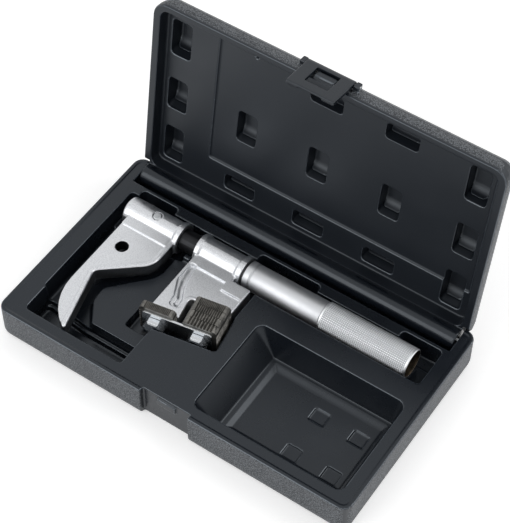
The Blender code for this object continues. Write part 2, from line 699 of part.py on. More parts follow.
def make_head_casting():
    """The cast head: a bored boss with two flanges, a leg, an arm and a web."""
    half = PLATE_THICKNESS / 2
    head = prism("head_casting", head_corners(), axis_z - half, axis_z + half, 0.001)
    for side in (-1, 1):
        face = axis_z + side * half
        heights = sorted((face - side * HEAD_RECESS_DEPTH, face + side * CLEAR))
        cut(head, prism("recess", recess_corners(), heights[0], heights[1]))
    boss = [
        (head_left, 0.0), (head_left, FLANGE_RADIUS - FLANGE_ROUND),
        (head_left + FLANGE_ROUND, FLANGE_RADIUS), (boss_left - FLANGE_ROUND, FLANGE_RADIUS),
        (boss_left, FLANGE_RADIUS - FLANGE_ROUND), (boss_left + FLANGE_SLOPE, BARREL_RADIUS),
        (ring_left - FLANGE_SLOPE, BARREL_RADIUS), (ring_left, FLANGE_RADIUS - FLANGE_ROUND),
        (ring_left + FLANGE_ROUND, FLANGE_RADIUS), (head_right - FLANGE_ROUND, FLANGE_RADIUS),
        (head_right, FLANGE_RADIUS - FLANGE_ROUND),
        (head_right, SPIGOT_RADIUS), (snap_left - FIT, SPIGOT_RADIUS),
        (snap_left - FIT, SPIGOT_RADIUS - RING_SLOT),
        (snap_left + SNAP_RING_WIDTH + FIT, SPIGOT_RADIUS - RING_SLOT),
        (snap_left + SNAP_RING_WIDTH + FIT, SPIGOT_RADIUS), (spigot_end, SPIGOT_RADIUS),
        (spigot_end, 0.0),
    ]
    join(head, tool_turned("boss", boss))
    bore = [
        (head_left - CLEAR, 0.0), (head_left - CLEAR, BAR_RADIUS + FIT), (guide_end, BAR_RADIUS + FIT),
        (guide_end, BAR_SCREW_RADIUS + FIT), (spigot_end + CLEAR, BAR_SCREW_RADIUS + FIT),
        (spigot_end + CLEAR, 0.0),
    ]
    cut(head, tool_turned("bore", bore))
    cut(head, rod("key_hole", (key_screw_x(), axis_y, axis_z - 2 * BARREL_RADIUS),
                  (key_screw_x(), axis_y, axis_z - BAR_RADIUS + KEYWAY_DEPTH + CLEAR),
                  KEY_SCREW_RADIUS + FIT))
    for along, face in ((0.0, 0.0), (SPARE_CENTRE, web_face)):
        hole = rod("bolt_hole", (along, 0.0, face - BOLT_GRIP - CLEAR), (along, 0.0, face + CLEAR),
                   BOLT_CORE_RADIUS + FIT)
        cut(head, in_chaser_frame(hole))
    return head


def chaser_outline(pitches):
    """A square with a row of teeth of its own pitch on each side."""
    half = CHASER_SIDE / 2
    flat = half - CHASER_CORNER
    points = []
    for side, pitch in enumerate(pitches):
        teeth = int(2 * flat / pitch)
        depth = 0.55 * pitch
        margin = flat - teeth * pitch / 2
        edge = [Vector((-flat, half))]
        for tooth in range(teeth):
            start = -flat + margin + tooth * pitch
            edge.append(Vector((start + 0.12 * pitch, half)))
            edge.append(Vector((start + 0.50 * pitch, half - depth)))
            edge.append(Vector((start + 0.88 * pitch, half)))
        centre = Vector((flat, flat))
        for step in range(3):
            angle = math.pi / 2 - step * math.pi / 6
            edge.append(centre + CHASER_CORNER * Vector((math.cos(angle), math.sin(angle))))
        turn = Matrix.Rotation(-side * math.pi / 2, 2)
        points.extend(turn @ point for point in edge)
    return points


def make_chaser(name, along, back, first):
    """One chaser plate; the side that points up carries the pitch numbered first."""
    pitches = [CHASER_PITCHES[(first + side) % len(CHASER_PITCHES)] for side in range(4)]
    outline = chaser_outline(pitches)
    rings = [[(along + p.x, p.y, depth) for p in outline] for depth in (back, back + CHASER_THICKNESS)]
    plate = loft(name, rings)
    cut(plate, rod("bolt_hole", (along, 0.0, back - CLEAR), (along, 0.0, back + CHASER_THICKNESS + CLEAR),
                   BOLT_RADIUS + FIT))
    return in_chaser_frame(plate)


def make_clamp_plate():
    """The strap across both bolts that presses the chasers to the head."""
    corners = box_corners(-CLAMP_OVERHANG, SPARE_CENTRE + CLAMP_OVERHANG,
                          -CLAMP_HEIGHT / 2, CLAMP_HEIGHT / 2, 0.003)
    clamp = prism("clamp_plate", corners, clamp_back, clamp_front)
    for along in (0.0, SPARE_CENTRE):
        cut(clamp, rod("bolt_hole", (along, 0.0, clamp_back - CLEAR), (along, 0.0, clamp_front + CLEAR),
                       BOLT_RADIUS + FIT))
    return in_chaser_frame(clamp)


def make_bolt(name, along, face):
    """A hexagon bolt through the clamp plate and the chasers, screwed into the casting."""
    facets = SMALL_ROUND
    profile = [
        (face - BOLT_GRIP, 0.0), (face - BOLT_GRIP, BOLT_CORE_RADIUS), (face + FIT, BOLT_CORE_RADIUS),
        (face + FIT, BOLT_RADIUS), (bolt_seat + CLEAR, BOLT_RADIUS), (bolt_seat + CLEAR, 0.0),
    ]
    shank = turned("shank", profile, facets)
    shank.data.transform(Matrix.Rotation(-math.pi / 2, 4, "Y"))
    corner = BOLT_HEAD_WIDTH / 2 / math.cos(math.pi / 6)
    dome = 0.93 * BOLT_HEAD_WIDTH / 2
    rings = []
    for radius, depth in ((corner, bolt_seat), (corner, bolt_end - 0.0009), (dome, bolt_end)):
        rings.append([(radius * math.cos(turn), radius * math.sin(turn), depth)
                      for turn in (math.pi * side / 3 for side in range(6))])
    bolt = loft(name, rings)
    join(bolt, shank)
    bolt.data.transform(Matrix.Translation((along, 0.0, 0.0)))
    return in_chaser_frame(bolt)


def make_thrust_washer():
    profile = [(washer_left, SPIGOT_RADIUS + FIT), (washer_left, BARREL_RADIUS - 0.0008),
               (washer_left + WASHER_THICKNESS, BARREL_RADIUS - 0.0008),
               (washer_left + WASHER_THICKNESS, SPIGOT_RADIUS + FIT)]
    return tool_turned("thrust_washer", profile)


def sleeve_radius():
    """Outside of the collar's sleeve, inside the handle tube's wall."""
    return HANDLE_RADIUS - HANDLE_WALL - FIT


def make_collar():
    """The turning collar: its sleeve screws into the handle and bears on the snap ring."""
    inner = SPIGOT_RADIUS + FIT
    profile = [
        (collar_left, inner), (collar_left, COLLAR_RADIUS - 0.0005), (collar_left + 0.0005, COLLAR_RADIUS),
        (collar_right - 0.0005, COLLAR_RADIUS), (collar_right, COLLAR_RADIUS - 0.0005),
        (collar_right, NECK_RADIUS), (handle_left - FIT, NECK_RADIUS),
        (handle_left - FIT, sleeve_radius()), (sleeve_end, sleeve_radius()), (sleeve_end, inner),
    ]
    return tool_turned("collar", profile)


def make_retaining_ring():
    """The snap ring in the spigot's groove that keeps the collar on the head."""
    inner = SPIGOT_RADIUS - RING_SLOT + FIT
    outer = sleeve_radius() - FIT
    profile = [(snap_left, inner), (snap_left, outer), (snap_left + SNAP_RING_WIDTH, outer),
               (snap_left + SNAP_RING_WIDTH, inner)]
    return tool_turned("retaining_ring", profile)


def make_handle_nut():
    """The bronze nut that draws the bar's thread."""
    inner = BAR_SCREW_RADIUS + FIT
    outer = HANDLE_RADIUS - HANDLE_WALL - FIT
    profile = [(nut_left, inner), (nut_left, outer), (nut_right, outer), (nut_right, inner)]
    return tool_turned("handle_nut", profile)


def make_handle_tube():
    """The inner tube: plain in front, stepped down under the grip."""
    counterbore = HANDLE_RADIUS - HANDLE_WALL
    under_grip = GRIP_RADIUS - GRIP_WALL - FIT
    profile = [
        (handle_left, counterbore), (handle_left, HANDLE_RADIUS - 0.0004),
        (handle_left + 0.0004, HANDLE_RADIUS), (grip_left - FIT, HANDLE_RADIUS),
        (grip_left - FIT, under_grip), (tube_right, under_grip), (tube_right, HANDLE_BORE_RADIUS),
        (nut_right + FIT, HANDLE_BORE_RADIUS), (nut_right + FIT, counterbore),
    ]
    return tool_turned("handle_tube", profile)


def make_knurled_grip():
    """The outer sleeve that carries the knurl, open at its right end."""
    inner = GRIP_RADIUS - GRIP_WALL
    profile = [
        (grip_left, inner), (grip_left, GRIP_RADIUS - 0.0007), (grip_left + 0.0007, GRIP_RADIUS),
        (grip_right - 0.0007, GRIP_RADIUS), (grip_right, GRIP_RADIUS - 0.0007),
        (grip_right, inner + 0.0004), (grip_right - 0.001, inner),
    ]
    return tool_turned("knurled_grip", profile)


def jaw_wells():
    """Cutters for the trench, the pit and the pedestal round the hooked jaw."""
    throat_x = tool_left + HOOK_THROAT_RIGHT
    throat_y = axis_y - hook_throat
    shoulder_x = tool_left + HOOK_PLATE_RIGHT
    shoulder_y = axis_y - hook_shoulder
    trench_back = bay_front + 4 * CLEAR
    # The trench follows the hook's inner contour.
    trench = [
        (well_left, pit_back + 2 * CLEAR, 0.003),
        (throat_x + TRENCH_TOE, pit_back - 6 * CLEAR, 0.003),
        (throat_x + TRENCH_THROAT_GAP + CLEAR, throat_y - TRENCH_BEND, 0.010),
        (throat_x + TRENCH_THROAT_GAP, throat_y - 3 * CLEAR, 0.007),
        (shoulder_x + TRENCH_SHOULDER_GAP, shoulder_y + CLEAR, 0.022),
        (shoulder_x + TRENCH_SHOULDER_GAP, trench_back, 0.002),
        (well_left, trench_back, 0.002),
    ]
    # The front pit lies under the hook's tip and has a ledge along its back wall.
    pit_left = well_left + PIT_SETBACK
    pit = [
        (pit_left, front_edge, 0.004),
        (pit_right, front_edge, 0.003),
        (pit_right, pit_back, 0.001),
        (throat_x + PIT_STEP_RIGHT, pit_back, 0.004),
        (throat_x - PIT_STEP_LEFT, pit_back + PIT_STEP, 0.004),
        (pit_left, pit_back + PIT_STEP, 0.005),
    ]
    low_pit = inset(pit, [0.0, 0.0, PIT_LEDGE_WIDTH, PIT_LEDGE_WIDTH, PIT_LEDGE_WIDTH, 0.0])
    # The raised pedestal stands between the hook and the head.
    stack_front = chaser_point(0.0, bolt_end + CHASER_WELL_GAP)[1]
    pedestal = [
        (throat_x, pit_back - 4 * CLEAR, 0.0),
        (pit_right, pit_back - 4 * CLEAR, 0.0),
        (pit_right + FIT, stack_front + 2 * CLEAR, 0.001),
        (chaser_datum.x - CLEAR, chaser_datum.y + 8 * CLEAR, 0.0),
        (chaser_datum.x - CLEAR, bay_front + 3 * CLEAR, 0.0),
        (throat_x, bay_front + 3 * CLEAR, 0.0),
    ]
    return [
        well(trench, axis_z - HOOK_WELL_DEPTH),
        well(pit, PIT_LEDGE, 0.001, 0.001),
        well(low_pit, PIT_FLOOR, 0.001, 0.002),
        well(pedestal, pedestal_height, 0.0005, 0.001),
    ]


def barrel_wells():
    """Cutters for both barrels, the handle, the finger recesses and the bar's saddle."""
    pocket_right = SPARE_CENTRE + CHASER_SIDE / 2 + CHASER_WELL_RIGHT
    grip_left_wall = chaser_point(pocket_right, web_face)[0] - 2 * CLEAR
    grip_front = axis_y - GRIP_RADIUS - GRIP_WELL_FRONT
    grip_end = grip_right + GRIP_WELL_END
    grip_floor = axis_z - GRIP_RADIUS - FIT
    head_end = head_right + BARREL_WELL_END
    jaw_well = box_corners(well_left, bulkhead_left, bay_front, well_back, 0.003)
    head_well = box_corners(bulkhead_right, head_end, bay_front, well_back, 0.002)
    grip_well = box_corners(grip_left_wall, grip_end, grip_front, well_back - 0.1 * CLEAR, 0.004)
    wells = [
        well(jaw_well, barrel_floor, 0.0003, 0.001),
        well(head_well, barrel_floor, 0.0003, 0.001),
        well(grip_well, grip_floor, 0.0004, 0.001),
    ]
    recesses = (
        (tool_left - CLEAR, tool_left + FINGER_LEFT_LENGTH),
        (head_right, head_right + FINGER_MIDDLE_LENGTH),
        (grip_right - FINGER_RIGHT_START, grip_end - 0.2 * CLEAR),
    )
    for left, right in recesses:
        corners = box_corners(left, right, well_back - 8 * CLEAR, well_back + FINGER_RECESS, 0.004)
        wells.append(well(corners, barrel_floor - CLEAR, 0.0008, 0.0015))
    left = bulkhead_left - 4 * CLEAR
    right = bulkhead_right + 4 * CLEAR
    wells.append(rod("saddle", (left, axis_y, axis_z), (right, axis_y, axis_z), BAR_RADIUS + FIT, ROUND))
    wells.append(block("saddle_mouth", (left, bay_front + 2 * CLEAR, axis_z - SADDLE_MOUTH_DROP),
                       (right, well_back - 0.5 * CLEAR, above_base)))
    return wells


def chaser_well():
    """Cutter for the pocket round the stack of chasers."""
    stack_front = bolt_end + CHASER_WELL_GAP
    stack_right = SPARE_CENTRE + CHASER_SIDE / 2 + CHASER_WELL_RIGHT
    right_corner = chaser_point(stack_right, web_face)
    left = chaser_datum.x - CHASER_SIDE / 2 - CHASER_WELL_LEFT
    front = chaser_datum.y - CHASER_WELL_FRONT
    back = bay_front + 3.5 * CLEAR
    leg_wall = head_left + LEG_SETBACK + LEG_WALL_INSET
    corners = [
        (left, front, 0.003),
        (pit_right - CLEAR, front, 0.001),
        (*chaser_point(CLEAR, stack_front), 0.001),
        (*chaser_point(stack_right, stack_front), 0.004),
        (*right_corner, 0.012),
        (right_corner[0], back, 0.001),
        (leg_wall, back, 0.001),
        (leg_wall, chaser_datum.y + CHASER_WELL_BACK, 0.003),
        (left, chaser_datum.y + CHASER_WELL_BACK - 2 * CLEAR, 0.003),
    ]
    return well(corners, axis_z - CHASER_SIDE / 2 - CHASER_WELL_DROP, 0.0006, 0.0012)


def tray_cutter():
    """The accessory tray: sloping walls, a ledge all round and a sunk floor."""
    mouth = box_corners(tray_left, tray_right, front_edge, tray_back, TRAY_CORNER)
    ledge_outer = inset(mouth, [TRAY_SLOPE, TRAY_SLOPE, TRAY_SLOPE, TRAY_LEFT_SLOPE])
    ledge_inner = inset(ledge_outer, [TRAY_LEDGE, TRAY_RIGHT_STEP, TRAY_LEDGE, TRAY_LEDGE])
    floor = inset(ledge_inner, [TRAY_FOOT, TRAY_RIGHT_STEP, TRAY_FOOT, TRAY_FOOT])
    rings = (
        (mouth, above_base),
        (mouth, deck_height - CLEAR),
        (ledge_outer, TRAY_LEDGE_HEIGHT),
        (ledge_inner, TRAY_LEDGE_HEIGHT - 0.2 * CLEAR),
        (floor, TRAY_FLOOR),
    )
    return loft("tray", [level(shape, height, 5) for shape, height in rings])


def make_case_base():
    """The moulded base: rounded shell, raised lip, wells, tray, hinge trough and catch."""
    half_length = case_length / 2
    half_width = case_width / 2
    outer = box_corners(-half_length, half_length, -half_width, half_width, CASE_CORNER)
    lip = inset(outer, LIP_WIDTH)
    rings = [
        (inset(outer, 0.9 * BASE_EDGE), 0.0),
        (inset(outer, 0.55 * BASE_EDGE), 0.1 * BASE_EDGE),
        (inset(outer, 0.13 * BASE_EDGE), 0.55 * BASE_EDGE),
        (outer, 1.2 * BASE_EDGE),
        (outer, BASE_HEIGHT - LIP_STEP),
        (inset(outer, 0.5 * LIP_STEP), BASE_HEIGHT),
        (inset(lip, -0.5 * LIP_STEP), BASE_HEIGHT),
        (lip, deck_height),
    ]
    base = loft("case_base", [level(shape, height, 6) for shape, height in rings])
    cut(base, *jaw_wells(), *barrel_wells(), chaser_well(), tray_cutter())
    # Four shallow dimples in the tray's floor.
    for column in range(2):
        for row in range(2):
            left = tray_left + DIMPLE_LEFT + column * DIMPLE_SPACING
            front = front_edge + DIMPLE_FRONT + row * DIMPLE_ROW_SPACING
            cut(base, block("dimple", (left, front, TRAY_FLOOR - DIMPLE_DEPTH),
                            (left + DIMPLE_LENGTH, front + DIMPLE_WIDTH, TRAY_FLOOR + 2 * CLEAR)))
    # The trough lets the lid's hinge barrel turn between the two ears.
    trough_floor = hinge_z - HINGE_BARREL_RADIUS - FIT
    back = half_width + 5 * CLEAR
    trough_front = half_width - HINGE_TROUGH_FRONT
    section = [(trough_front, above_base), (trough_front, deck_height - CLEAR),
               (hinge_y - HINGE_BARREL_RADIUS, trough_floor), (back, trough_floor), (back, above_base)]
    rings = [[(x, y, z) for y, z in section] for x in (-ear_face, ear_face)]
    cut(base, loft("trough", rings))
    for side in (-1, 1):
        cut(base, rod("pin_hole", (side * (ear_face - CLEAR), hinge_y, hinge_z),
                      (side * (pin_outer + FIT), hinge_y, hinge_z), HINGE_PIN_RADIUS + FIT))
    # The latch lies in a notch of the front wall, round a rounded catch.
    recess_wall = -half_width + LATCH_FACE_INSET + LATCH_THICKNESS + 2 * FIT
    recess_half = LATCH_WIDTH / 2 + 4 * FIT
    flap_foot = rim_height + LATCH_PIVOT_RISE - LATCH_DROP
    cut(base, block("latch_recess", (LATCH_X - recess_half, -half_width - CLEAR, -CLEAR),
                    (LATCH_X + recess_half, recess_wall, above_base)))
    catch_foot = flap_foot + WINDOW_SILL + FIT
    catch_face = -half_width + LATCH_FACE_INSET + SILL_THICKNESS + FIT
    join(base, block("catch", (LATCH_X - CATCH_WIDTH / 2, catch_face, catch_foot),
                     (LATCH_X + CATCH_WIDTH / 2, recess_wall + 3 * CLEAR, catch_foot + CATCH_HEIGHT), 0.0009))
    return base


def lid_outline():
    half = case_length / 2 - LID_SIDE_INSET
    return box_corners(-half, half, -case_width / 2 + LID_FRONT_INSET, hinge_y + LID_HEEL, LID_CORNER)


def lid_well(corners, depth, draft, start=0.0):
    """Cutter that opens the closed lid from its rim upwards."""
    low = rim_height - 2 * CLEAR if start == 0.0 else rim_height + start - CLEAR
    narrow = inset(corners, draft)
    rings = ((corners, low), (corners, rim_height + start), (narrow, rim_height + depth))
    return loft("lid_well", [level(shape, height, 3) for shape, height in rings])


def lid_pocket_places():
    """Centre and size of each stiffening pocket, in five columns."""
    places = []
    for column in range(-2, 3):
        x = column * POCKET_PITCH - POCKET_SHIFT
        places.append((x, POCKET_ROW, POCKET_WIDTH, POCKET_LENGTH))
        if abs(column) == 2:
            places.append((x, -END_POCKET_ROW, POCKET_WIDTH, END_POCKET_LENGTH))
            places.append((x, END_POCKET_ROW, POCKET_WIDTH, END_POCKET_LENGTH))
        else:
            places.append((x, WIDE_POCKET_ROW, WIDE_POCKET_WIDTH, WIDE_POCKET_LENGTH))
            if column > -1:
                places.append((x, -WIDE_POCKET_ROW, WIDE_POCKET_WIDTH, WIDE_POCKET_LENGTH))
    return places


def make_case_lid():
    """The moulded lid, built closed: crowned shell, panel, pockets, hinge barrel and latch lugs."""
    outer = lid_outline()
    straight = rim_height + LID_DEPTH - LID_CROWN
    rings = [(inset(outer, 0.0008), rim_height), (outer, rim_height + 0.001), (outer, straight)]
    for step in range(1, 5):
        angle = step * math.pi / 8
        rings.append((inset(outer, LID_CROWN * (1 - math.cos(angle))), straight + LID_CROWN * math.sin(angle)))
    lid = loft("case_lid", [level(shape, height, 5) for shape, height in rings])
    half = case_length / 2 - LID_SIDE_INSET
    # The hinge barrel runs between the ears.
    barrel_half = ear_face - 5 * FIT
    barrel = [(-barrel_half, 0.0), (-barrel_half, HINGE_BARREL_RADIUS), (barrel_half, HINGE_BARREL_RADIUS),
              (barrel_half, 0.0)]
    join(lid, turned("hinge_barrel", barrel, ROUND, (0.0, hinge_y, hinge_z)))
    for side in (-1, 1):
        cut(lid, rod("ear_relief", (side * barrel_half, hinge_y, hinge_z),
                     (side * case_length / 2, hinge_y, hinge_z), LID_EAR_RELIEF, ROUND))
        cut(lid, rod("pin_hole", (side * (pin_inner - FIT), hinge_y, hinge_z),
                     (side * case_length / 2, hinge_y, hinge_z), HINGE_PIN_RADIUS + FIT))
    # The panel lies between the rims; its middle is one step deeper.
    panel_back = hinge_y - HINGE_BARREL_RADIUS + 2 * FIT
    panel = box_corners(-half + 1.08 * LID_RIM_WIDTH, half - 1.08 * LID_RIM_WIDTH,
                        outer[0][1] + 0.87 * LID_RIM_WIDTH, panel_back, PANEL_CORNER)
    cut(lid, lid_well(panel, PANEL_DEPTH, 0.001))
    step_panel = box_corners(-LID_STEP_LEFT, panel[1][0] - LID_STEP_MARGIN,
                             panel[0][1] + LID_STEP_MARGIN, LID_STEP_BACK, 0.002)
    cut(lid, lid_well(step_panel, PANEL_DEPTH + PANEL_STEP, 0.0006, PANEL_DEPTH))
    # Stiffening pockets reach almost to the outer skin.
    for x, y, width, length in lid_pocket_places():
        corners = box_corners(x - width / 2, x + width / 2, y - length / 2, y + length / 2, POCKET_CORNER)
        narrow = inset(corners, [CLEAR, CLEAR, POCKET_SLOPE, CLEAR])
        mouth = rim_height + PANEL_DEPTH
        heights = ((corners, mouth - CLEAR), (corners, mouth + PANEL_STEP),
                   (narrow, rim_height + LID_DEPTH - LID_SKIN))
        cut(lid, loft("pocket", [level(shape, height, 2) for shape, height in heights]))
    add_latch_lugs(lid)
    return lid


def latch_pivot():
    """Pivot of the latch on the closed lid."""
    return Vector((LATCH_X, -case_width / 2 + LATCH_FACE_INSET + LATCH_PIVOT_DEPTH,
                   rim_height + LATCH_PIVOT_RISE))


def add_latch_lugs(lid):
    """Two lugs for the latch pin and the tongue that fills the latch's window."""
    pivot = latch_pivot()
    wall = -case_width / 2 + LID_FRONT_INSET
    inner = LATCH_WIDTH / 2 + FIT
    reach = LATCH_BARREL_RADIUS
    cut(lid, rod("latch_relief", (pivot.x - inner, pivot.y, pivot.z), (pivot.x + inner, pivot.y, pivot.z),
                 LATCH_BARREL_RADIUS + 2 * FIT, SMALL_ROUND))
    for side in (-1, 1):
        ends = sorted((pivot.x + side * inner, pivot.x + side * (inner + LATCH_LUG_WIDTH)))
        join(lid, block("lug", (ends[0], pivot.y - reach, pivot.z - reach - CLEAR),
                        (ends[1], wall + 4 * CLEAR, pivot.z + reach), 0.0008))
    tongue_half = WINDOW_WIDTH / 2 - TONGUE_GAP
    tongue_top = pivot.z - LATCH_BARREL_RADIUS - 4 * FIT
    join(lid, block("tongue", (pivot.x - tongue_half, pivot.y - TONGUE_GAP, rim_height + 0.8 * CLEAR),
                    (pivot.x + tongue_half, wall + 4 * CLEAR, tongue_top), 0.0012))
    span = inner + LATCH_LUG_WIDTH + CLEAR
    cut(lid, rod("pin_hole", (pivot.x - span, pivot.y, pivot.z), (pivot.x + span, pivot.y, pivot.z),
                 LATCH_PIN_RADIUS + FIT))


def make_latch_flap():
    """The flap, built closed: a frame round its window, with a relieved lower bar."""
    pivot = latch_pivot()
    half = LATCH_WIDTH / 2
    face = -case_width / 2 + LATCH_FACE_INSET
    foot = pivot.z - LATCH_DROP
    flap = block("latch_flap", (pivot.x - half, face, foot),
                 (pivot.x + half, face + LATCH_THICKNESS, pivot.z), 0.0008)
    barrel = [(pivot.x - half, 0.0), (pivot.x - half, LATCH_BARREL_RADIUS),
              (pivot.x + half, LATCH_BARREL_RADIUS), (pivot.x + half, 0.0)]
    join(flap, turned("barrel", barrel, SMALL_ROUND, (0.0, pivot.y, pivot.z)))
    window_half = WINDOW_WIDTH / 2
    window_top = pivot.z - LATCH_BARREL_RADIUS - FIT
    cut(flap, block("window", (pivot.x - window_half, face - CLEAR, foot + WINDOW_SILL),
                    (pivot.x + window_half, face + 2 * LATCH_THICKNESS, window_top)))
    cut(flap, block("sill_relief", (pivot.x - window_half, face + SILL_THICKNESS, foot - CLEAR),
                    (pivot.x + window_half, face + 2 * LATCH_THICKNESS, foot + WINDOW_SILL + CLEAR)))
    span = half + CLEAR
    cut(flap, rod("pin_hole", (pivot.x - span, pivot.y, pivot.z), (pivot.x + span, pivot.y, pivot.z),
                  LATCH_PIN_RADIUS + FIT))
    return flap


def make_latch_pin():
    pivot = latch_pivot()
    half = LATCH_WIDTH / 2 + LATCH_LUG_WIDTH
    return rod("latch_pin", (pivot.x - half, pivot.y, pivot.z), (pivot.x + half, pivot.y, pivot.z),
               LATCH_PIN_RADIUS)


def make_hinge_pin(name, side):
    """A steel pin, half in the ear and half in the lid's barrel."""
    return rod(name, (side * pin_inner, hinge_y, hinge_z), (side * pin_outer, hinge_y, hinge_z),
               HINGE_PIN_RADIUS)


def opened(point):
    """Where a point of the closed lid lies when the lid stands open."""
    axis = Vector((0.0, hinge_y, hinge_z))
    return axis + Matrix.Rotation(-LID_OPEN_ANGLE, 3, "X") @ (Vector(point) - axis)


def build_case(plastic, lid_plastic, steel):
    hinge = (0.0, hinge_y, hinge_z)
    finish(make_case_base(), plastic)
    put_on_axis(finish(make_case_lid(), lid_plastic), hinge, -LID_OPEN_ANGLE)
    finish(make_hinge_pin("hinge_pin_left", -1), steel)
    finish(make_hinge_pin("hinge_pin_right", 1), steel)
    for item, shade in ((make_latch_flap(), lid_plastic), (make_latch_pin(), steel)):
        put_on_axis(finish(item, shade), latch_pivot(), -LID_OPEN_ANGLE)
        item.location = opened(latch_pivot())


def build_tool(casting, turned_chrome, blackened, chaser_steel, bronze, zinc, dark_steel):
    finish(make_hook_jaw(), casting)
    finish(make_cross_pin(), turned_chrome)
    finish(make_guide_bar(), blackened)
    finish(make_guide_screw(), dark_steel)
    finish(make_head_casting(), casting)
    finish(make_thrust_washer(), dark_steel)
    finish(make_retaining_ring(), dark_steel)
    finish(make_chaser("chaser_working", 0.0, FIT, 0), chaser_steel)
    for spare in range(SPARE_COUNT):
        back = chaser_front - (spare + 1) * chaser_pitch + FIT
        plate = make_chaser("chaser_spare_%d" % (spare + 1), SPARE_CENTRE, back, (3 - spare) % 4)
        finish(plate, chaser_steel)
    finish(make_clamp_plate(), zinc)
    finish(make_bolt("chaser_bolt_left", 0.0, 0.0), zinc)
    finish(make_bolt("chaser_bolt_right", SPARE_CENTRE, web_face), zinc)
    axis = (0.0, axis_y, axis_z)
    for item, shade in ((make_collar(), turned_chrome), (make_handle_nut(), bronze),
                        (make_handle_tube(), turned_chrome), (make_knurled_grip(), turned_chrome)):
        put_on_axis(finish(item, shade), axis)


def main():
    for item in list(bpy.data.objects):
        bpy.data.objects.remove(item)
    plastic = material("moulded_case", (0.028, 0.032, 0.035), 0.45, 0.0)
    lid_plastic = material("moulded_lid", (0.030, 0.034, 0.037), 0.45, 0.0)
    steel = material("hinge_steel", (0.45, 0.45, 0.46), 0.35, 1.0)
    casting = material("chromed_casting", (0.72, 0.73, 0.75), 0.28, 1.0)
    turned_chrome = material("chromed_turning", (0.78, 0.79, 0.80), 0.22, 1.0)
    blackened = material("blackened_bar", (0.03, 0.03, 0.03), 0.35, 1.0)
    chaser_steel = material("chaser_steel", (0.16, 0.15, 0.13), 0.45, 1.0)
    bronze = material("nut_bronze", (0.55, 0.38, 0.18), 0.35, 1.0)
    zinc = material("plated_fastener", (0.68, 0.69, 0.70), 0.30, 1.0)
    dark_steel = material("dark_steel", (0.08, 0.08, 0.085), 0.40, 1.0)
    build_case(plastic, lid_plastic, steel)
    build_tool(casting, turned_chrome, blackened, chaser_steel, bronze, zinc, dark_steel)


main()
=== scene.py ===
# %% [markdown]
# # An outside thread restorer in its moulded case
# The tool is a screw clamp. A hooked jaw and a toothed chaser plate grip a
# damaged thread, and the handle draws the jaw towards the head. It lies in an
# open case of black moulded plastic. The measured solids come from the packed
# model; this lesson gives them soft moulded edges, castings, knurling and
# finishes.

import json
import math

import bmesh
import bpy
from mathutils import Matrix, Vector


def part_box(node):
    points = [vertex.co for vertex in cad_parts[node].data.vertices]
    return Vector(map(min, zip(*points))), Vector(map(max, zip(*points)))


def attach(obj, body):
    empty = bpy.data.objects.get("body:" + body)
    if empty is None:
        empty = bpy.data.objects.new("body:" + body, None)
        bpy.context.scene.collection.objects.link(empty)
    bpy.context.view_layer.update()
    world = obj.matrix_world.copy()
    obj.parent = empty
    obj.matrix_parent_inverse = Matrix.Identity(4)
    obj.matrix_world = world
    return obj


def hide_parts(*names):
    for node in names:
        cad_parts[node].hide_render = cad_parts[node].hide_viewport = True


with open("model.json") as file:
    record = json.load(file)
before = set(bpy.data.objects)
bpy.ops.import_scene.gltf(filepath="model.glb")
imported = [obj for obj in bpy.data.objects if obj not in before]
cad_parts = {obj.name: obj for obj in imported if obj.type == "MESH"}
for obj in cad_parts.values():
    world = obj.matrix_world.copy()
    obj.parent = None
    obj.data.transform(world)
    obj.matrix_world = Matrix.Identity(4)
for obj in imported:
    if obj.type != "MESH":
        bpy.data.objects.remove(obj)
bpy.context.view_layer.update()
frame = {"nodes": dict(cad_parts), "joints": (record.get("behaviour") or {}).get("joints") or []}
joints = {joint["name"]: joint for joint in frame["joints"]}
scene = bpy.context.scene
print("solids:", len(frame["nodes"]))

# %% [markdown]
# ## The camera
# The photograph was taken with a long lens from the front right, well above
# the case. Its angles were solved from the case's straight edges. A long lens
# keeps the far end of the lid almost as large as the near one.

# %% Camera
azimuth, elevation, roll = (math.radians(value) for value in (33.8047, 52.5768, 0.499))
back = Vector((math.sin(azimuth) * math.cos(elevation), -math.cos(azimuth) * math.cos(elevation),
               math.sin(elevation)))
right = (-back).cross(Vector((0.0, 0.0, 1.0))).normalized()
up = back.cross(right)
leaning_right = math.cos(roll) * right + math.sin(roll) * up
leaning_up = math.cos(roll) * up - math.sin(roll) * right
camera_data = bpy.data.cameras.new("camera")
camera_data.sensor_fit = "HORIZONTAL"
camera_data.sensor_width = 36.0
camera_data.lens = 125.69
camera_data.clip_end = 20.0
camera = bpy.data.objects.new("camera", camera_data)
scene.collection.objects.link(camera)
camera.matrix_world = (Matrix.Translation((0.5093, -0.7319, 1.2859))
                       @ Matrix((leaning_right, leaning_up, back)).transposed().to_4x4())
scene.camera = camera
scene.view_settings.view_transform = "Standard"
print("camera distance %.3f m" % camera.location.length)

# %% [markdown]
# ## Colours and nodes
# A colour is written as the sRGB hex value that the eye sees on the object,
# and one function turns it to the linear value that the shader needs. A
# second function adds any node, with its settings and its links, so that each
# material reads as a short list of what it does. A pattern's scale comes from
# the real size of its grains, in millimetres.

# %% Colour and node helpers
def linear(code):
    """Linear RGBA of an sRGB hex colour."""
    shares = [int(code[place:place + 2], 16) / 255 for place in (1, 3, 5)]
    values = [share / 12.92 if share <= 0.04045 else ((share + 0.055) / 1.055) ** 2.4 for share in shares]
    return values + [1.0]


def add_node(tree, kind, settings, **links):
    """Add a node; settings go to its sockets or to its own properties."""
    node = tree.nodes.new(kind)
    for name, value in settings.items():
        if hasattr(node, name):
            setattr(node, name, value)
        else:
            node.inputs[name].default_value = value
    for name, output in links.items():
        tree.links.new(output, node.inputs[name.replace("_", " ")])
    return node


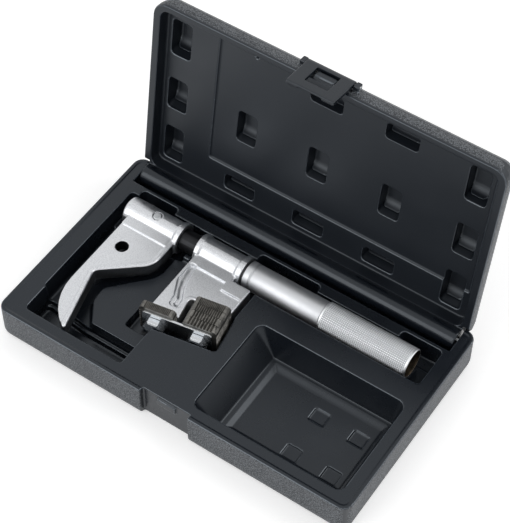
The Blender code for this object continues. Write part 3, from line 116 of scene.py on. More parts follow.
def scale_of(millimetres):
    """Scale of a pattern whose grains have this real size."""
    return 1000.0 / millimetres


def start_material(name, colour, roughness, metallic=0.0):
    """A Principled surface with its constant values set on its own sockets."""
    finish = bpy.data.materials.new(name)
    finish.use_nodes = True
    surface = finish.node_tree.nodes["Principled BSDF"]
    surface.inputs["Base Color"].default_value = linear(colour)
    surface.inputs["Roughness"].default_value = roughness
    surface.inputs["Metallic"].default_value = metallic
    place = add_node(finish.node_tree, "ShaderNodeTexCoord", {}).outputs["Object"]
    return finish, finish.node_tree, surface, place


print("black plastic in linear light:", [round(value, 4) for value in linear("#13171d")])

# %% [markdown]
# ## Blow-moulded polyethylene
# The case is high-density polyethylene, blown into a steel mould. Inside, the
# mould was smooth, which leaves a soft sheen with slow waves where the plastic
# cooled unevenly. The lid's inner side cooled slower and came out duller, and
# the hinge barrel is worn to a gloss by its ears. Outside, the mould was
# etched with a pebble grain, which scatters the light and looks greyer. The
# soot that colours it gives the sheen a cold tone. Noise in the roughness
# stands for handling marks. The rounded edges are glossier and painted paler,
# which is a painted highlight along them.

# %% Case plastics
polyethylene_ior = 1.5
handling_marks = 35.7           # sizes of patterns in millimetres
cooling_waves = 22.2
mould_pebbles = 1.1


def moulded_plastic(name, colour, roughness):
    """Polyethylene with a cold sheen, handling marks and slow waves in its skin."""
    finish, tree, surface, place = start_material(name, colour, roughness)
    surface.inputs["IOR"].default_value = polyethylene_ior
    surface.inputs["Specular Tint"].default_value = linear("#eff7ff")
    marks = add_node(tree, "ShaderNodeTexNoise",
                     {"Scale": scale_of(handling_marks), "Detail": 5.0, "Roughness": 0.6}, Vector=place)
    spread = add_node(tree, "ShaderNodeMapRange",
                      {"From Min": 0.3, "From Max": 0.7,
                       "To Min": roughness - 0.04, "To Max": roughness + 0.05}, Value=marks.outputs["Fac"])
    tree.links.new(spread.outputs["Result"], surface.inputs["Roughness"])
    waves = add_node(tree, "ShaderNodeTexNoise", {"Scale": scale_of(cooling_waves), "Detail": 2.0},
                     Vector=place)
    skin = add_node(tree, "ShaderNodeBump", {"Strength": 0.5, "Distance": 0.00015},
                    Height=waves.outputs["Fac"])
    tree.links.new(skin.outputs["Normal"], surface.inputs["Normal"])
    return finish, tree, surface, place, skin


def add_grain(tree, surface, place, skin, size, depth, low, high):
    """Pebble grain: bumps of a given size, their depth in metres, with worn, paler tops."""
    pebbles = add_node(tree, "ShaderNodeTexVoronoi", {"Scale": scale_of(size), "feature": "SMOOTH_F1",
                                                      "Smoothness": 0.4}, Vector=place)
    grain = add_node(tree, "ShaderNodeBump", {"Strength": 1.0, "Distance": depth, "invert": True},
                     Height=pebbles.outputs["Distance"], Normal=skin.outputs["Normal"])
    tree.links.new(grain.outputs["Normal"], surface.inputs["Normal"])
    tops = add_node(tree, "ShaderNodeValToRGB", {}, Fac=pebbles.outputs["Distance"])
    tops.color_ramp.elements[0].position = 0.25
    tops.color_ramp.elements[0].color = linear(high)
    tops.color_ramp.elements[1].position = 0.60
    tops.color_ramp.elements[1].color = linear(low)
    tree.links.new(tops.outputs["Color"], surface.inputs["Base Color"])


polyethylene_smooth = moulded_plastic("polyethylene_moulded_smooth", "#13171d", 0.27)[0]
polyethylene_satin = moulded_plastic("polyethylene_moulded_satin", "#13171d", 0.38)[0]
polyethylene_gloss = moulded_plastic("polyethylene_moulded_gloss", "#13171d", 0.20)[0]
# The paler colour and doubled specular of the rounded edges are a painted highlight; the lower roughness
# makes them glossier.
polyethylene_edge_highlight, *edge_highlight_nodes = moulded_plastic("polyethylene_painted_edge_highlight", "#3a4047", 0.24)
edge_highlight_nodes[1].inputs["Specular IOR Level"].default_value = 1.0
polyethylene_grained, *grained = moulded_plastic("polyethylene_moulded_grained", "#2e3135", 0.44)
add_grain(*grained, mould_pebbles, 0.0005, "#1f2124", "#6c7075")
print("plastics:", polyethylene_smooth.name, polyethylene_grained.name)

# %% [markdown]
# ## Satin chrome
# The jaw and the head are steel castings. They were blasted before plating, so
# the chrome keeps a speckle over slow unevenness. The marks of single grains of
# grit are too fine for the picture, so the speckle is drawn as coarse as it
# needs to show, just under a millimetre. The handle was turned and ground, so
# its chrome is smoother and even.

# %% Chrome finishes
blasted_speckle = 0.769         # sizes of patterns in millimetres
cast_unevenness = 6.25
turned_drift = 4.55


def cast_chrome(name, colour, shade):
    """Chrome over a blasted casting, speckled between two colours."""
    finish, tree, surface, place = start_material(name, colour, 0.34, 1.0)
    speckle = add_node(tree, "ShaderNodeTexNoise",
                       {"Scale": scale_of(blasted_speckle), "Detail": 2.0, "Roughness": 0.6}, Vector=place)
    colours = add_node(tree, "ShaderNodeValToRGB", {}, Fac=speckle.outputs["Fac"])
    colours.color_ramp.elements[0].position = 0.38
    colours.color_ramp.elements[0].color = linear(shade)
    colours.color_ramp.elements[1].position = 0.56
    colours.color_ramp.elements[1].color = linear(colour)
    tree.links.new(colours.outputs["Color"], surface.inputs["Base Color"])
    cloud = add_node(tree, "ShaderNodeTexNoise", {"Scale": scale_of(cast_unevenness), "Detail": 3.0},
                     Vector=place)
    spread = add_node(tree, "ShaderNodeMapRange",
                      {"From Min": 0.3, "From Max": 0.7, "To Min": 0.29, "To Max": 0.39},
                      Value=cloud.outputs["Fac"])
    tree.links.new(spread.outputs["Result"], surface.inputs["Roughness"])
    fine = add_node(tree, "ShaderNodeBump", {"Strength": 1.0, "Distance": 0.00006},
                    Height=speckle.outputs["Fac"])
    slow = add_node(tree, "ShaderNodeBump", {"Strength": 1.0, "Distance": 0.00005},
                    Height=cloud.outputs["Fac"], Normal=fine.outputs["Normal"])
    tree.links.new(slow.outputs["Normal"], surface.inputs["Normal"])
    return finish


def turned_chrome(name, colour, roughness):
    """Chrome over a turned part, with a slow drift in how dull it is."""
    finish, tree, surface, place = start_material(name, colour, roughness, 1.0)
    cloud = add_node(tree, "ShaderNodeTexNoise", {"Scale": scale_of(turned_drift), "Detail": 3.0},
                     Vector=place)
    spread = add_node(tree, "ShaderNodeMapRange",
                      {"From Min": 0.3, "From Max": 0.7,
                       "To Min": roughness - 0.03, "To Max": roughness + 0.03}, Value=cloud.outputs["Fac"])
    tree.links.new(spread.outputs["Result"], surface.inputs["Roughness"])
    return finish


chrome_cast = cast_chrome("chrome_over_blasted_casting", "#dcdee1", "#c2c4c8")
# A darker chrome for the hook's side walls: painted shade standing for the dark case they reflect.
chrome_painted_dark_side = cast_chrome("chrome_painted_shade_on_casting_side", "#8e9093", "#76787b")
chrome_turned = turned_chrome("chrome_over_ground_tube", "#ccced1", 0.47)
zinc_bright = turned_chrome("zinc_bright_on_pressed_steel", "#c6c9cc", 0.24)
# A darker, rougher chrome for the knurl's grooves: the darker colour is painted shade.
chrome_painted_groove_shade = turned_chrome("chrome_painted_shade_in_rolled_grooves", "#c0c2c5", 0.50)
chrome_knurled = turned_chrome("chrome_over_rolled_knurl", "#eceef0", 0.42)
print("chromes:", chrome_cast.name, chrome_turned.name, zinc_bright.name)

# %% [markdown]
# ## Dark steels and bronze
# The guide bar is blackened in a hot salt bath and oiled: nearly black, with a
# soft sheen. The chaser plates are hardened tool steel with a brown temper
# film. The handle's bore was never plated, so it is a dull oily brown. The nut
# deep inside is bronze.

# %% Dark metals
scale_grain = 1.11              # size of the skin's roughness in millimetres


def dark_metal(name, colour, second, roughness, stain_size, metallic=1.0):
    """A dark metal whose colour drifts between two hex values over stains of a given size."""
    finish, tree, surface, place = start_material(name, colour, roughness, metallic)
    stains = add_node(tree, "ShaderNodeTexNoise",
                      {"Scale": scale_of(stain_size), "Detail": 6.0, "Roughness": 0.65}, Vector=place)
    colours = add_node(tree, "ShaderNodeValToRGB", {}, Fac=stains.outputs["Fac"])
    colours.color_ramp.elements[0].position = 0.35
    colours.color_ramp.elements[0].color = linear(second)
    colours.color_ramp.elements[1].position = 0.65
    colours.color_ramp.elements[1].color = linear(colour)
    tree.links.new(colours.outputs["Color"], surface.inputs["Base Color"])
    fine = add_node(tree, "ShaderNodeTexNoise", {"Scale": scale_of(scale_grain), "Detail": 2.0},
                    Vector=place)
    bump = add_node(tree, "ShaderNodeBump", {"Strength": 0.6, "Distance": 0.00006},
                    Height=fine.outputs["Fac"])
    tree.links.new(bump.outputs["Normal"], surface.inputs["Normal"])
    return finish


# This finish also paints the jaw's through hole near black, a painted shade.
steel_blackened_and_hole_shade = dark_metal("steel_blackened_oiled_and_hole_shade", "#26272a", "#1a1b1d", 0.34, 12.0, 0.7)
steel_hardened = dark_metal("tool_steel_hardened_brown", "#8a8884", "#5f5e5b", 0.40, 5.0)
steel_bare = dark_metal("steel_bare_oily_bore", "#5b5042", "#2f2a24", 0.50, 8.0)
steel_dark = dark_metal("spring_steel_oiled", "#4a4a4c", "#303032", 0.36, 6.0)
bronze_turned = dark_metal("bronze_turned", "#a98552", "#8d6c40", 0.30, 10.0)
print("dark metals made:", len(bpy.data.materials))

# %% [markdown]
# ## Giving the measured solids their finishes
# Every solid first gets the finish of its real metal or plastic. Small pieces
# keep their measured shape, and two modifiers ease their edges: one welds the
# loose triangles, the other rounds what is sharper than a moulded or ground
# edge would be.

# %% Finishes on the solids
weld_reach = 0.000003
pressed_round = 0.0004
ground_round = 0.0002
ground_limit = 40.0


def give(item, *finishes):
    item.data.materials.clear()
    for finish in finishes:
        item.data.materials.append(finish)
    return item


def ease_edges(item, width, limit=30.0, segments=2):
    """Weld the triangles and round every edge sharper than the limit in degrees."""
    weld = item.modifiers.new("weld", "WELD")
    weld.merge_threshold = weld_reach
    bevel = item.modifiers.new("ease", "BEVEL")
    bevel.width = width
    bevel.segments = segments
    bevel.limit_method = "ANGLE"
    bevel.angle_limit = math.radians(limit)
    bevel.harden_normals = True
    return item


nodes = frame["nodes"]
plain_finishes = {
    "case_base": polyethylene_smooth, "case_lid": polyethylene_smooth, "latch_flap": polyethylene_smooth,
    "hook_jaw": chrome_cast, "head_casting": chrome_cast, "jaw_cross_pin": zinc_bright,
    "guide_bar": steel_blackened_and_hole_shade, "guide_screw": steel_dark, "thrust_washer": steel_dark,
    "retaining_ring": steel_dark, "collar": chrome_turned, "handle_tube": chrome_turned,
    "knurled_grip": chrome_turned, "handle_nut": bronze_turned, "clamp_plate": zinc_bright,
    "chaser_bolt_left": zinc_bright, "chaser_bolt_right": zinc_bright, "latch_pin": zinc_bright,
    "hinge_pin_left": zinc_bright, "hinge_pin_right": zinc_bright,
}
for name, item in nodes.items():
    give(item, plain_finishes.get(name, steel_hardened))
for name in ("clamp_plate", "chaser_bolt_left", "chaser_bolt_right"):
    ease_edges(nodes[name], pressed_round)
for name in nodes:
    if name.startswith("chaser_") and "bolt" not in name:
        ease_edges(nodes[name], ground_round, ground_limit, segments=1)
print("finished solids:", len(nodes))

# %% [markdown]
# ## Moulded and cast bodies
# Blow moulding and casting leave no sharp edge anywhere. Rounding thousands of
# edges one by one is fragile, so each body is made the way clay would be: a
# copy of the measured solid is turned into a fine even skin with a voxel
# remesh, its points are relaxed a few times, which rounds every edge, and the
# flat areas are thinned again. What the mould or the pattern pressed into the
# surface, such as a channel or a rounded foot, is pressed into the fine skin
# before its points are relaxed.

# %% A soft body from a measured solid
same_height = 0.00006           # how close to a sunk height a point lies that is on it


def applied(item):
    """Replace an object's mesh by the result of its modifiers."""
    graph = bpy.context.evaluated_depsgraph_get()
    result = bpy.data.meshes.new_from_object(item.evaluated_get(graph))
    item.modifiers.clear()
    item.data = result
    return item


def new_piece(name, builder, body, slot, *finishes):
    """Turn a bmesh into a finished piece that moves with a body."""
    mesh = bpy.data.meshes.new(name)
    builder.to_mesh(mesh)
    builder.free()
    piece = bpy.data.objects.new(name, mesh)
    scene.collection.objects.link(piece)
    give(piece, *finishes)
    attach(piece, body)
    return piece


def level_normals(piece, limit):
    """Let large flat faces set the shading, and set it square where it is within the limit of an axis.

    The light then turns on the rounded edges alone, and a flat wall shows no blotches.
    """
    mesh = piece.data
    pushes = [Vector() for _ in mesh.vertices]
    for face in mesh.polygons:
        push = face.normal * face.area
        for corner in face.vertices:
            pushes[corner] += push
    nearly = math.cos(math.radians(limit))
    for push in pushes:
        push.normalize()
        for way in range(3):
            if abs(push[way]) > nearly:
                push.xyz = [math.copysign(1.0, push[way]) if place == way else 0.0 for place in range(3)]
    mesh.normals_split_custom_set_from_vertices(pushes)


def soft_body(name, node, body, slot, voxel, rounds, triangles, finishes, sunk=(), level=Matrix(),
              pressed=None, limit=3.5):
    """A copy of a solid with every edge rounded by about two voxels.

    Faces that lie at a sunk height first go deeper by the given depth. The level
    matrix squares a tilted body to the voxels while it is worked on, and the
    pressed function moves single points of the fine skin before it is relaxed.
    """
    builder = bmesh.new()
    builder.from_mesh(nodes[node].data)
    bmesh.ops.remove_doubles(builder, verts=builder.verts, dist=weld_reach)
    for height, depth in sunk:
        for vert in builder.verts:
            if abs(vert.co.z - height) < same_height:
                vert.co.z -= depth
    bmesh.ops.transform(builder, matrix=level, verts=builder.verts)
    piece = new_piece(name, builder, body, slot, *finishes)
    remesh = piece.modifiers.new("skin", "REMESH")
    remesh.mode = "VOXEL"
    remesh.voxel_size = voxel
    applied(piece)
    builder = bmesh.new()
    builder.from_mesh(piece.data)
    if pressed:
        for vert in builder.verts:
            pressed(vert.co)
    for _ in range(rounds):
        bmesh.ops.smooth_vert(builder, verts=builder.verts, factor=0.5, use_axis_x=True, use_axis_y=True,
                              use_axis_z=True)
    builder.to_mesh(piece.data)
    builder.free()
    if 2 * len(piece.data.polygons) > triangles:
        thin = piece.modifiers.new("thin", "DECIMATE")
        thin.ratio = triangles / (2 * len(piece.data.polygons))
        applied(piece)
    piece.data.shade_smooth()
    level_normals(piece, limit)
    piece.data.transform(level.inverted())
    give(piece, *finishes)
    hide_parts(node)
    print(name, "has", len(piece.data.polygons), "faces")
    return piece


print("a point is on a sunk height when it lies within", same_height, "m")

# %% [markdown]
# ## Several finishes on one piece
# A moulding has more than one skin: grained outside, smooth inside, and a
# painted highlight on its rounded edges. Each face keeps the number of its
# finish, and a test on the face's middle and direction chooses that number.

# %% Finishes chosen face by face
flat_share = 0.96               # share of a normal along one axis from which its face is flat
# A rubbed edge here means a rounded edge that takes the painted highlight.
least_turn = 0.3                # how far apart the corner normals of a rubbed edge are


def paint_faces(piece, index, chooses):
    """Give a finish to the faces that a test on centre and normal chooses."""
    for face in piece.data.polygons:
        if chooses(face.center, face.normal):
            face.material_index = index


def paint_edge_highlight(piece, index, square=Matrix()):
    """Give the finish with the painted highlight to the outward rounded edges: tilted faces whose corner
    normals spread apart.
    """
    points = piece.data.vertices
    for face in piece.data.polygons:
        if max(abs(value) for value in square @ face.normal) > flat_share:
            continue
        corners = [points[place] for place in face.vertices]
        for first, second in zip(corners, corners[1:] + corners[:1]):
            turn = second.normal - first.normal
            if turn.length > least_turn and turn.dot(second.co - first.co) > 0.0:
                face.material_index = index


def tell_finishes(piece):
    """Print how many faces have each finish."""
    for index, finish in enumerate(piece.data.materials):
        print(piece.name, finish.name, sum(face.material_index == index for face in piece.data.polygons))


print("faces count as flat from a share of", flat_share)

# %% [markdown]
# ## The case base
# The base is one blown body with a well for each part of the tool, a deep tray
# for spare plates and a raised lip that the lid closes on. The outer walls
# carry the mould's pebble grain, so they take the second finish.

# %% Case base
base_low, base_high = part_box("case_base")
case_voxel = 0.0007
case_rounds = 2
case_triangles = 195000
wall_band = 0.0016
foot_band = 0.006
wall_lean = 0.6                 # the upward share of a normal at which the wall's round ends
base = soft_body("case_base_shell", "case_base", "case", "moulded_case", case_voxel, case_rounds,
                 case_triangles, (polyethylene_smooth, polyethylene_grained, polyethylene_edge_highlight))


def outside_of_base(centre, normal):
    """True on the outer walls and on the underside."""
    side = max(abs(centre.x) - base_high.x, base_low.y - centre.y, centre.y - base_high.y)
    return (side > -wall_band and normal.z < wall_lean) or (centre.z < foot_band and normal.z < 0.0)


# Rounded edges of the base take the painted highlight, finish 2.
paint_edge_highlight(base, 2)
paint_faces(base, 1, outside_of_base)
tell_finishes(base)

# %% [markdown]
# ## The case lid
# The lid is moulded like the base. Its panel is stiffened by rows of pockets
# pressed almost through to the outer skin, and its barrel turns on the hinge
# pins. It stands a little past upright, so it is squared to the voxels while
# it is worked on. Each pocket's sloping wall ends in a wide round, which
# catches the light from above, and a small vent mark shows beside the panel.

# %% Case lid
hinge = Vector(joints["lid_hinge"]["pos_m"])
opened = math.radians(joints["lid_hinge"]["range_deg"][1])
closing = Matrix.Rotation(opened, 4, "X")
closed_place = Matrix.Translation(hinge) @ closing @ Matrix.Translation(-hinge)
closed_heights = [(closed_place @ vert.co).z for vert in nodes["case_lid"].data.vertices]
skin_under_pockets = 0.0025
pocket_floor = max(closed_heights) - skin_under_pockets
rim_height = pocket_floor - 0.025
floor_band = 0.0006
foot_margin = 0.001
pocket_round = 0.009
pocket_pitch = 0.0734
pocket_shift = 0.002
narrow_half, wide_half = 0.010, 0.016
middle_row, end_row, wide_row = 0.0025, 0.060, 0.071
middle_reach, end_reach, wide_reach = 0.0125, 0.01425, 0.0035
pockets = []
for column in range(-2, 3):
    x = column * pocket_pitch - pocket_shift
    pockets.append((x, middle_row + middle_reach, narrow_half))
    for side in (-1, 1):
        if abs(column) == 2:
            pockets.append((x, side * end_row + end_reach, narrow_half))
        else:
            pockets.append((x, side * wide_row + wide_reach, wide_half))
latch_pivot = Vector((-0.0017, -0.1006, rim_height + 0.0125))
lug_inner, lug_outer = 0.0236, 0.0300
lug_reach = 0.0021
vent = Vector((-0.0733, -0.0793))
vent_radius = 0.0013
vent_depth = 0.003
panel_band = (rim_height + 0.008, rim_height + 0.016)


def lid_pressed(point):
    """Round the foot of each pocket's sloping wall, flatten the latch's lugs and press the vent."""
    if abs(point.z - pocket_floor) < floor_band:
        for x, foot, half in pockets:
            along = foot - point.y
            if abs(point.x - x) < half and -foot_margin < along < pocket_round:
                reach = pocket_round - max(along, 0.0)
                point.z -= pocket_round - math.sqrt(pocket_round ** 2 - reach ** 2)
    if lug_inner < abs(point.x - latch_pivot.x) < lug_outer:
        point.y = max(point.y, latch_pivot.y - lug_reach)
    if (point.xy - vent).length < vent_radius and panel_band[0] < point.z < panel_band[1]:
        point.z += vent_depth


lid = soft_body("case_lid_shell", "case_lid", "lid", "moulded_lid", case_voxel, case_rounds, case_triangles,
                (polyethylene_satin, polyethylene_grained, polyethylene_gloss, polyethylene_edge_highlight),
                level=closed_place, pressed=lid_pressed)
print("lid pockets:", len(pockets))

# %% [markdown]
# ## Skins of the lid
# Besides its dull inner side the lid has a painted highlight on its rounded
# edges, a glossy hinge barrel and the grained outer skin. The test for the outer
# skin turns each face to where the closed lid has it, because there the crown
# faces straight up.

# %% Lid finishes
lid_half_length = 0.1726
lid_front = -0.0981
lid_back = 0.094
grain_low = 0.0385
lid_wall_band = 0.0012
lug_band = 0.0002
crown_lean = 0.25               # the upward share of a normal from which a face is on the crown
barrel_reach = 0.0105


def outside_of_lid(centre, normal):
    """True on the crown and the outer walls, found where the closed lid would have them."""
    closed = closed_place @ centre
    facing = closing @ normal
    if abs(closed.x - latch_pivot.x) < lug_outer and closed.y < lid_front - lug_band:
        return False
    side = max(abs(closed.x) - lid_half_length, lid_front - closed.y)
    on_skin = facing.z > crown_lean or side > -lid_wall_band
    return closed.z > grain_low and closed.y < lid_back and on_skin


def on_hinge_barrel(centre, normal):
    return math.hypot(centre.y - hinge.y, centre.z - hinge.z) < barrel_reach


# Rounded edges of the lid take the painted highlight, finish 3.
paint_edge_highlight(lid, 3, closing.to_3x3())
paint_faces(lid, 2, on_hinge_barrel)
paint_faces(lid, 1, outside_of_lid)
tell_finishes(lid)

# %% [markdown]
# ## The latch
# The flap hangs on a pin between two lugs of the lid. Its window drops over a
# catch on the base.

# %% Latch flap
latch_voxel = 0.0004
latch_rounds = 3
latch_triangles = 60000
soft_body("latch_flap_moulded", "latch_flap", "latch", "moulded_lid", latch_voxel, latch_rounds,
          latch_triangles, (polyethylene_smooth,))

# %% [markdown]
# ## The hooked jaw
# The jaw and the head are cast in sand, so they have generous rounds. The jaw's
# face lies a little lower than its edge. The hook's side walls get a darker
# chrome, which is painted shade for the dark case they reflect, and the walls of
# the through hole get near-black steel, which is painted shade.

# %% Hooked jaw
middle = joints["handle_spin"]["pos_m"][2]      # height of the tool's axis
plate = 0.007                   # half the thickness of both castings' plates
cast_voxel = 0.0004
cast_rounds = 6
cast_triangles = 150000
plate_limit = 1.0               # only what is truly level is shaded level, so the webs keep their slopes
jaw_bead = 0.0006
jaw = soft_body("hook_jaw_casting", "hook_jaw", "jaw", "chromed_casting", cast_voxel, cast_rounds,
                cast_triangles, (chrome_cast, steel_blackened_and_hole_shade, chrome_painted_dark_side),
                ((middle + plate, jaw_bead), (middle - plate, -jaw_bead)), limit=plate_limit)
jaw_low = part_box("hook_jaw")[0]
hole_from_left = 0.0228
hole = Vector((jaw_low.x + hole_from_left, 0.0090))
hole_reach = 0.0068
hole_lean = 0.6
barrel_foot = 0.034
edge_round = 0.0008
side_lean = 0.5


def inside_hole(centre, normal):
    return (centre.xy - hole).length < hole_reach and abs(normal.z) < hole_lean


def side_of_hook(centre, normal):
    on_plate = centre.y < barrel_foot and abs(centre.z - middle) < plate - edge_round
    return on_plate and abs(normal.z) < side_lean


# The hook's side walls take the darker chrome, a painted shade.
paint_faces(jaw, 2, side_of_hook)
# The walls of the through hole take the near-black steel, a painted shade.
paint_faces(jaw, 1, inside_hole)
tell_finishes(jaw)

# %% [markdown]
# ## The head
# The plate of the head has a shallow recess on both faces, and a channel bounds
# it. The channel's middle line is a few chosen points. Each point of the fine
# skin that lies close to that line is pressed in, deepest on the line itself.

# %% Head
recess = plate - 0.0012
recess_press = 0.0009
channel_floor = 0.0012          # half the width of its flat floor
channel_slope = 0.0026          # plan width of its sloping sides
channel_depth = 0.0036
pressed_below = 0.0045          # how far below the plate's face a point is still pressed
pressed_above = 0.0003
boss_foot = 0.0285
channel = [Vector(place) for place in ((-0.0643, 0.0266), (-0.0615, 0.0099), (-0.0587, 0.0015),
                                       (-0.0535, -0.0080), (-0.0529, -0.0140))]


def from_channel(spot):
    """Distance of a spot from the channel's middle line."""
    best = 1.0
    for first, second in zip(channel, channel[1:]):
        run = second - first
        share = min(max((spot - first).dot(run) / run.length_squared, 0.0), 1.0)
        best = min(best, (spot - first - share * run).length)
    return best


def head_pressed(point):
    """Press the channel that bounds the recess, on both faces of the plate."""
    height = point.z - middle
    if plate - pressed_below < abs(height) < plate + pressed_above and point.y < boss_foot:
        slope = min(max((from_channel(point.xy) - channel_floor) / channel_slope, 0.0), 1.0)
        depth = channel_depth * (1.0 - slope * slope * (3.0 - 2.0 * slope))
        point.z = middle + math.copysign(min(abs(height), plate - depth), height)


soft_body("head_casting_chromed", "head_casting", "case", "chromed_casting", cast_voxel, cast_rounds - 1,
          cast_triangles, (chrome_cast,), ((middle + recess, recess_press), (middle - recess, -recess_press)),
          pressed=head_pressed, limit=plate_limit)

# %% [markdown]
# ## The turned handle
# The collar, the plain front of the handle and the grip were made on a lathe,
# so each starts as half a section that is spun round the tool's axis. The
# tube has a step for the grip, and its bore is wider in front, where the nut
# sits.

# %% Turned pieces
tube_low, tube_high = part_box("handle_tube")
axis = Vector((0.0, (tube_low.y + tube_high.y) / 2, (tube_low.z + tube_high.z) / 2))
turning_steps = 96
parting = 0.0003                # gap between two turned pieces
sleeve_bore, sleeve_radius = 0.0105, 0.0114
ring_length = 0.006
step_radius = 0.0122
collar_round = 0.0005
tube_radius = 0.013
tube_under_grip = 0.0123
front_bore, rear_bore = 0.0119, 0.0095
front_bore_end = 0.0228
tube_round = 0.0003


def spun(profile, steps):
    """Spin a closed section of (x, radius) points round the tool's axis."""
    builder = bmesh.new()
    corners = [builder.verts.new((x, 0.0, radius)) for x, radius in profile]
    edges = [builder.edges.new(pair) for pair in zip(corners, corners[1:] + corners[:1])]
    bmesh.ops.spin(builder, geom=corners + edges, cent=(0, 0, 0), axis=(1, 0, 0), angle=2 * math.pi,
                   steps=steps, use_merge=True)
    bmesh.ops.remove_doubles(builder, verts=builder.verts, dist=0.000001)
    bmesh.ops.recalc_face_normals(builder, faces=builder.faces)
    return builder


def eased(builder, width, limit=25.0):
    """Round the edges that are sharper than the limit."""
    least = math.radians(limit)
    sharp = [edge for edge in builder.edges if edge.is_manifold and edge.calc_face_angle() > least]
    bmesh.ops.bevel(builder, geom=sharp, offset=width, segments=3, profile=0.5, affect="EDGES", material=-1)
    for face in builder.faces:
        face.smooth = True
    return builder


def on_axis(builder):
    bmesh.ops.translate(builder, verts=builder.verts, vec=axis)
    return builder


collar_low, collar_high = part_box("collar")
radius = (collar_high.z - collar_low.z) / 2
ring_end = collar_low.x + ring_length
step_end = tube_low.x - parting
collar_section = [(collar_low.x, sleeve_bore), (collar_low.x, radius), (ring_end, radius),
                  (ring_end, step_radius), (step_end, step_radius), (step_end, sleeve_radius),
                  (collar_high.x, sleeve_radius), (collar_high.x, sleeve_bore)]
collar = new_piece("collar_turned", on_axis(eased(spun(collar_section, turning_steps), collar_round)),
                   "handle", "chromed_turning", chrome_turned)
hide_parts("collar")

grip_low, grip_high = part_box("knurled_grip")
shoulder = grip_low.x - parting
tube_section = [(tube_low.x, front_bore), (tube_low.x, tube_radius), (shoulder, tube_radius),
                (shoulder, tube_under_grip), (tube_high.x, tube_under_grip), (tube_high.x, rear_bore),
                (front_bore_end, rear_bore), (front_bore_end, front_bore)]
tube = new_piece("handle_tube_turned", on_axis(eased(spun(tube_section, turning_steps), tube_round)),
                 "handle", "chromed_turning", chrome_turned)
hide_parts("handle_tube")
print("collar and tube turned about", [round(value, 4) for value in axis])

# %% [markdown]
# ## The knurled grip
# The knurl is rolled into the grip: small flat-topped squares stand between
# crossed grooves, 1.8 mm apart both ways. The grooves round the grip are part
# of the section. It is spun in three steps for each column of squares, and
# every third line of points is then pushed in, which makes the grooves that
# run along the grip.

# %% Knurled grip
outer = (grip_high.z - grip_low.z) / 2
grip_bore = 0.0126
mouth_radius, mouth_depth = 0.0129, 0.001
end_slope = 0.0008
groove = 0.0004
pitch = 0.0018
square_from, square_to = 0.30, 0.75     # shares of the pitch where a square starts and ends
land = 0.0018
rows = int((grip_high.x - grip_low.x - 2 * land) / pitch)
knurl_start = (grip_low.x + grip_high.x - rows * pitch) / 2
knurl_end = knurl_start + rows * pitch
section = [(grip_low.x, grip_bore), (grip_low.x, outer - end_slope), (grip_low.x + end_slope, outer),
           (knurl_start - groove / 2, outer)]
for row in range(rows):
    left = knurl_start + row * pitch
    section += [(left, outer - groove), (left + square_from * pitch, outer),
                (left + square_to * pitch, outer)]
section += [(knurl_end, outer - groove), (knurl_end + groove, outer), (grip_high.x - end_slope, outer),
            (grip_high.x, outer - end_slope), (grip_high.x, mouth_radius),
            (grip_high.x - mouth_depth, grip_bore)]
columns = 48
bore_reach = 0.0128
groove_deep, groove_shallow = 0.9, 0.3      # shares of the groove's depth that are painted
row_margin = 0.0001
top_margin = 0.00005
grip_builder = spun(section, 3 * columns)
for vert in grip_builder.verts:
    reach = math.hypot(vert.co.y, vert.co.z)
    step = round(math.atan2(vert.co.y, vert.co.z) / (2 * math.pi) * 3 * columns)
    inside_rows = knurl_start - row_margin < vert.co.x < knurl_end + row_margin
    if step % 3 == 0 and inside_rows and reach > outer - top_margin:
        share = (outer - groove) / reach
        vert.co.y *= share
        vert.co.z *= share
grip = new_piece("knurled_grip_rolled", on_axis(grip_builder), "handle", "chromed_turning",
                 chrome_knurled, steel_bare, chrome_painted_groove_shade)
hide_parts("knurled_grip")


def from_axis(centre):
    """Distance of a spot from the tool's axis."""
    return math.hypot(centre.y - axis.y, centre.z - axis.z)


def in_bore(centre, normal):
    return from_axis(centre) < bore_reach


def in_groove(centre, normal):
    depth = outer - from_axis(centre)
    return groove_shallow * groove < depth < groove_deep * groove and knurl_start < centre.x < knurl_end


# The knurl's grooves take the darker chrome, a painted shade in the hollows.
paint_faces(grip, 2, in_groove)
paint_faces(grip, 1, in_bore)
print("knurl of", rows, "rows and", columns, "columns,", len(grip.data.polygons), "faces")

# %% [markdown]
# ## The table
# The case stands on a white table. Its paper glows a little to the camera and
# in reflections only, so that it stays white under the case's soft shadow.

# %% Table
def background_seen(tree):
    """An output that is 1 for camera, glossy and transmission rays and 0 for diffuse light."""
    ray = add_node(tree, "ShaderNodeLightPath", {})
    share = ray.outputs["Is Camera Ray"]
    for kind in ("Is Glossy Ray", "Is Transmission Ray"):
        either = add_node(tree, "ShaderNodeMath", {"operation": "MAXIMUM"})
        tree.links.new(share, either.inputs[0])
        tree.links.new(ray.outputs[kind], either.inputs[1])
        share = either.outputs["Value"]
    return share


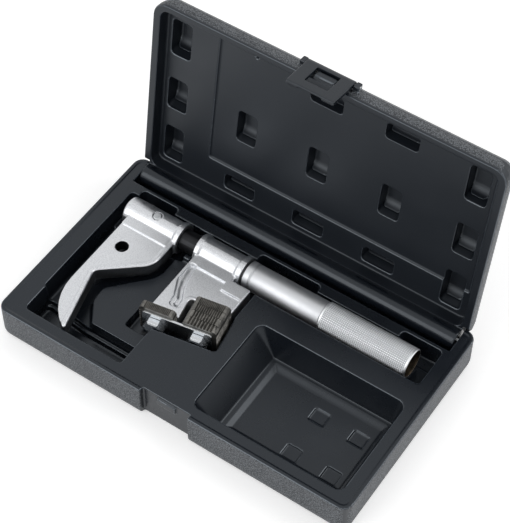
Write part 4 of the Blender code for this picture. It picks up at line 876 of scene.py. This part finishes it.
floor_half = 6.0
floor_height = -0.0004
paper_cloud = 16.7              # size of the cloudy patches in its fibres, in millimetres
floor_builder = bmesh.new()
bmesh.ops.create_grid(floor_builder, x_segments=1, y_segments=1, size=floor_half)
bmesh.ops.translate(floor_builder, verts=floor_builder.verts, vec=(0.0, 0.0, floor_height))
floor_mesh = bpy.data.meshes.new("floor")
floor_builder.to_mesh(floor_mesh)
floor_builder.free()
floor = bpy.data.objects.new("floor", floor_mesh)
scene.collection.objects.link(floor)
paper, paper_tree, paper_surface, paper_place = start_material("paper_white_matt", "#f7f7f7", 0.9)
fibres = add_node(paper_tree, "ShaderNodeTexNoise", {"Scale": scale_of(paper_cloud), "Detail": 4.0},
                  Vector=paper_place)
tone = add_node(paper_tree, "ShaderNodeMapRange", {"To Min": 0.85, "To Max": 0.95},
                Value=fibres.outputs["Fac"])
paper_tree.links.new(tone.outputs["Result"], paper_surface.inputs["Roughness"])
paper_surface.inputs["Emission Color"].default_value = (1.0, 1.0, 1.0, 1.0)
paper_light = add_node(paper_tree, "ShaderNodeMapRange", {"To Min": 0.0, "To Max": 0.36},
                       Value=background_seen(paper_tree))
paper_tree.links.new(paper_light.outputs["Result"], paper_surface.inputs["Emission Strength"])
give(floor, paper)
print("table", 2 * floor_half, "m wide, finished in", paper.name)

# %% [markdown]
# ## Lamps and a white room
# The room is white to the camera and in reflections, which is what makes chrome
# look like chrome, and softer as a light. Two large soft lamps stand above: one
# in front on the left, which draws the long highlights on the hinge barrel and
# the handle, and one behind on the right, which rims the far edges.

# %% Lamps and world
def lamp(name, place, target, size, power):
    data = bpy.data.lights.new(name, "AREA")
    data.size = size
    data.energy = power
    item = bpy.data.objects.new(name, data)
    scene.collection.objects.link(item)
    item.location = place
    item.rotation_euler = (Vector(target) - Vector(place)).to_track_quat("-Z", "Y").to_euler()
    return item


lamp("softbox_front_left", (-0.46, -1.04, 0.82), (0.0, 0.03, 0.05), 0.95, 5.0)
lamp("softbox_back_right", (0.9, 0.7, 1.1), (0.0, 0.05, 0.05), 0.8, 5.0)
world = bpy.data.worlds.new("white_room")
scene.world = world
world.use_nodes = True
world_tree = world.node_tree
white_light = add_node(world_tree, "ShaderNodeMapRange", {"To Min": 0.62, "To Max": 1.0},
                       Value=background_seen(world_tree))
sky = world_tree.nodes["Background"]
sky.inputs["Color"].default_value = (1.0, 1.0, 1.0, 1.0)
world_tree.links.new(white_light.outputs["Result"], sky.inputs["Strength"])
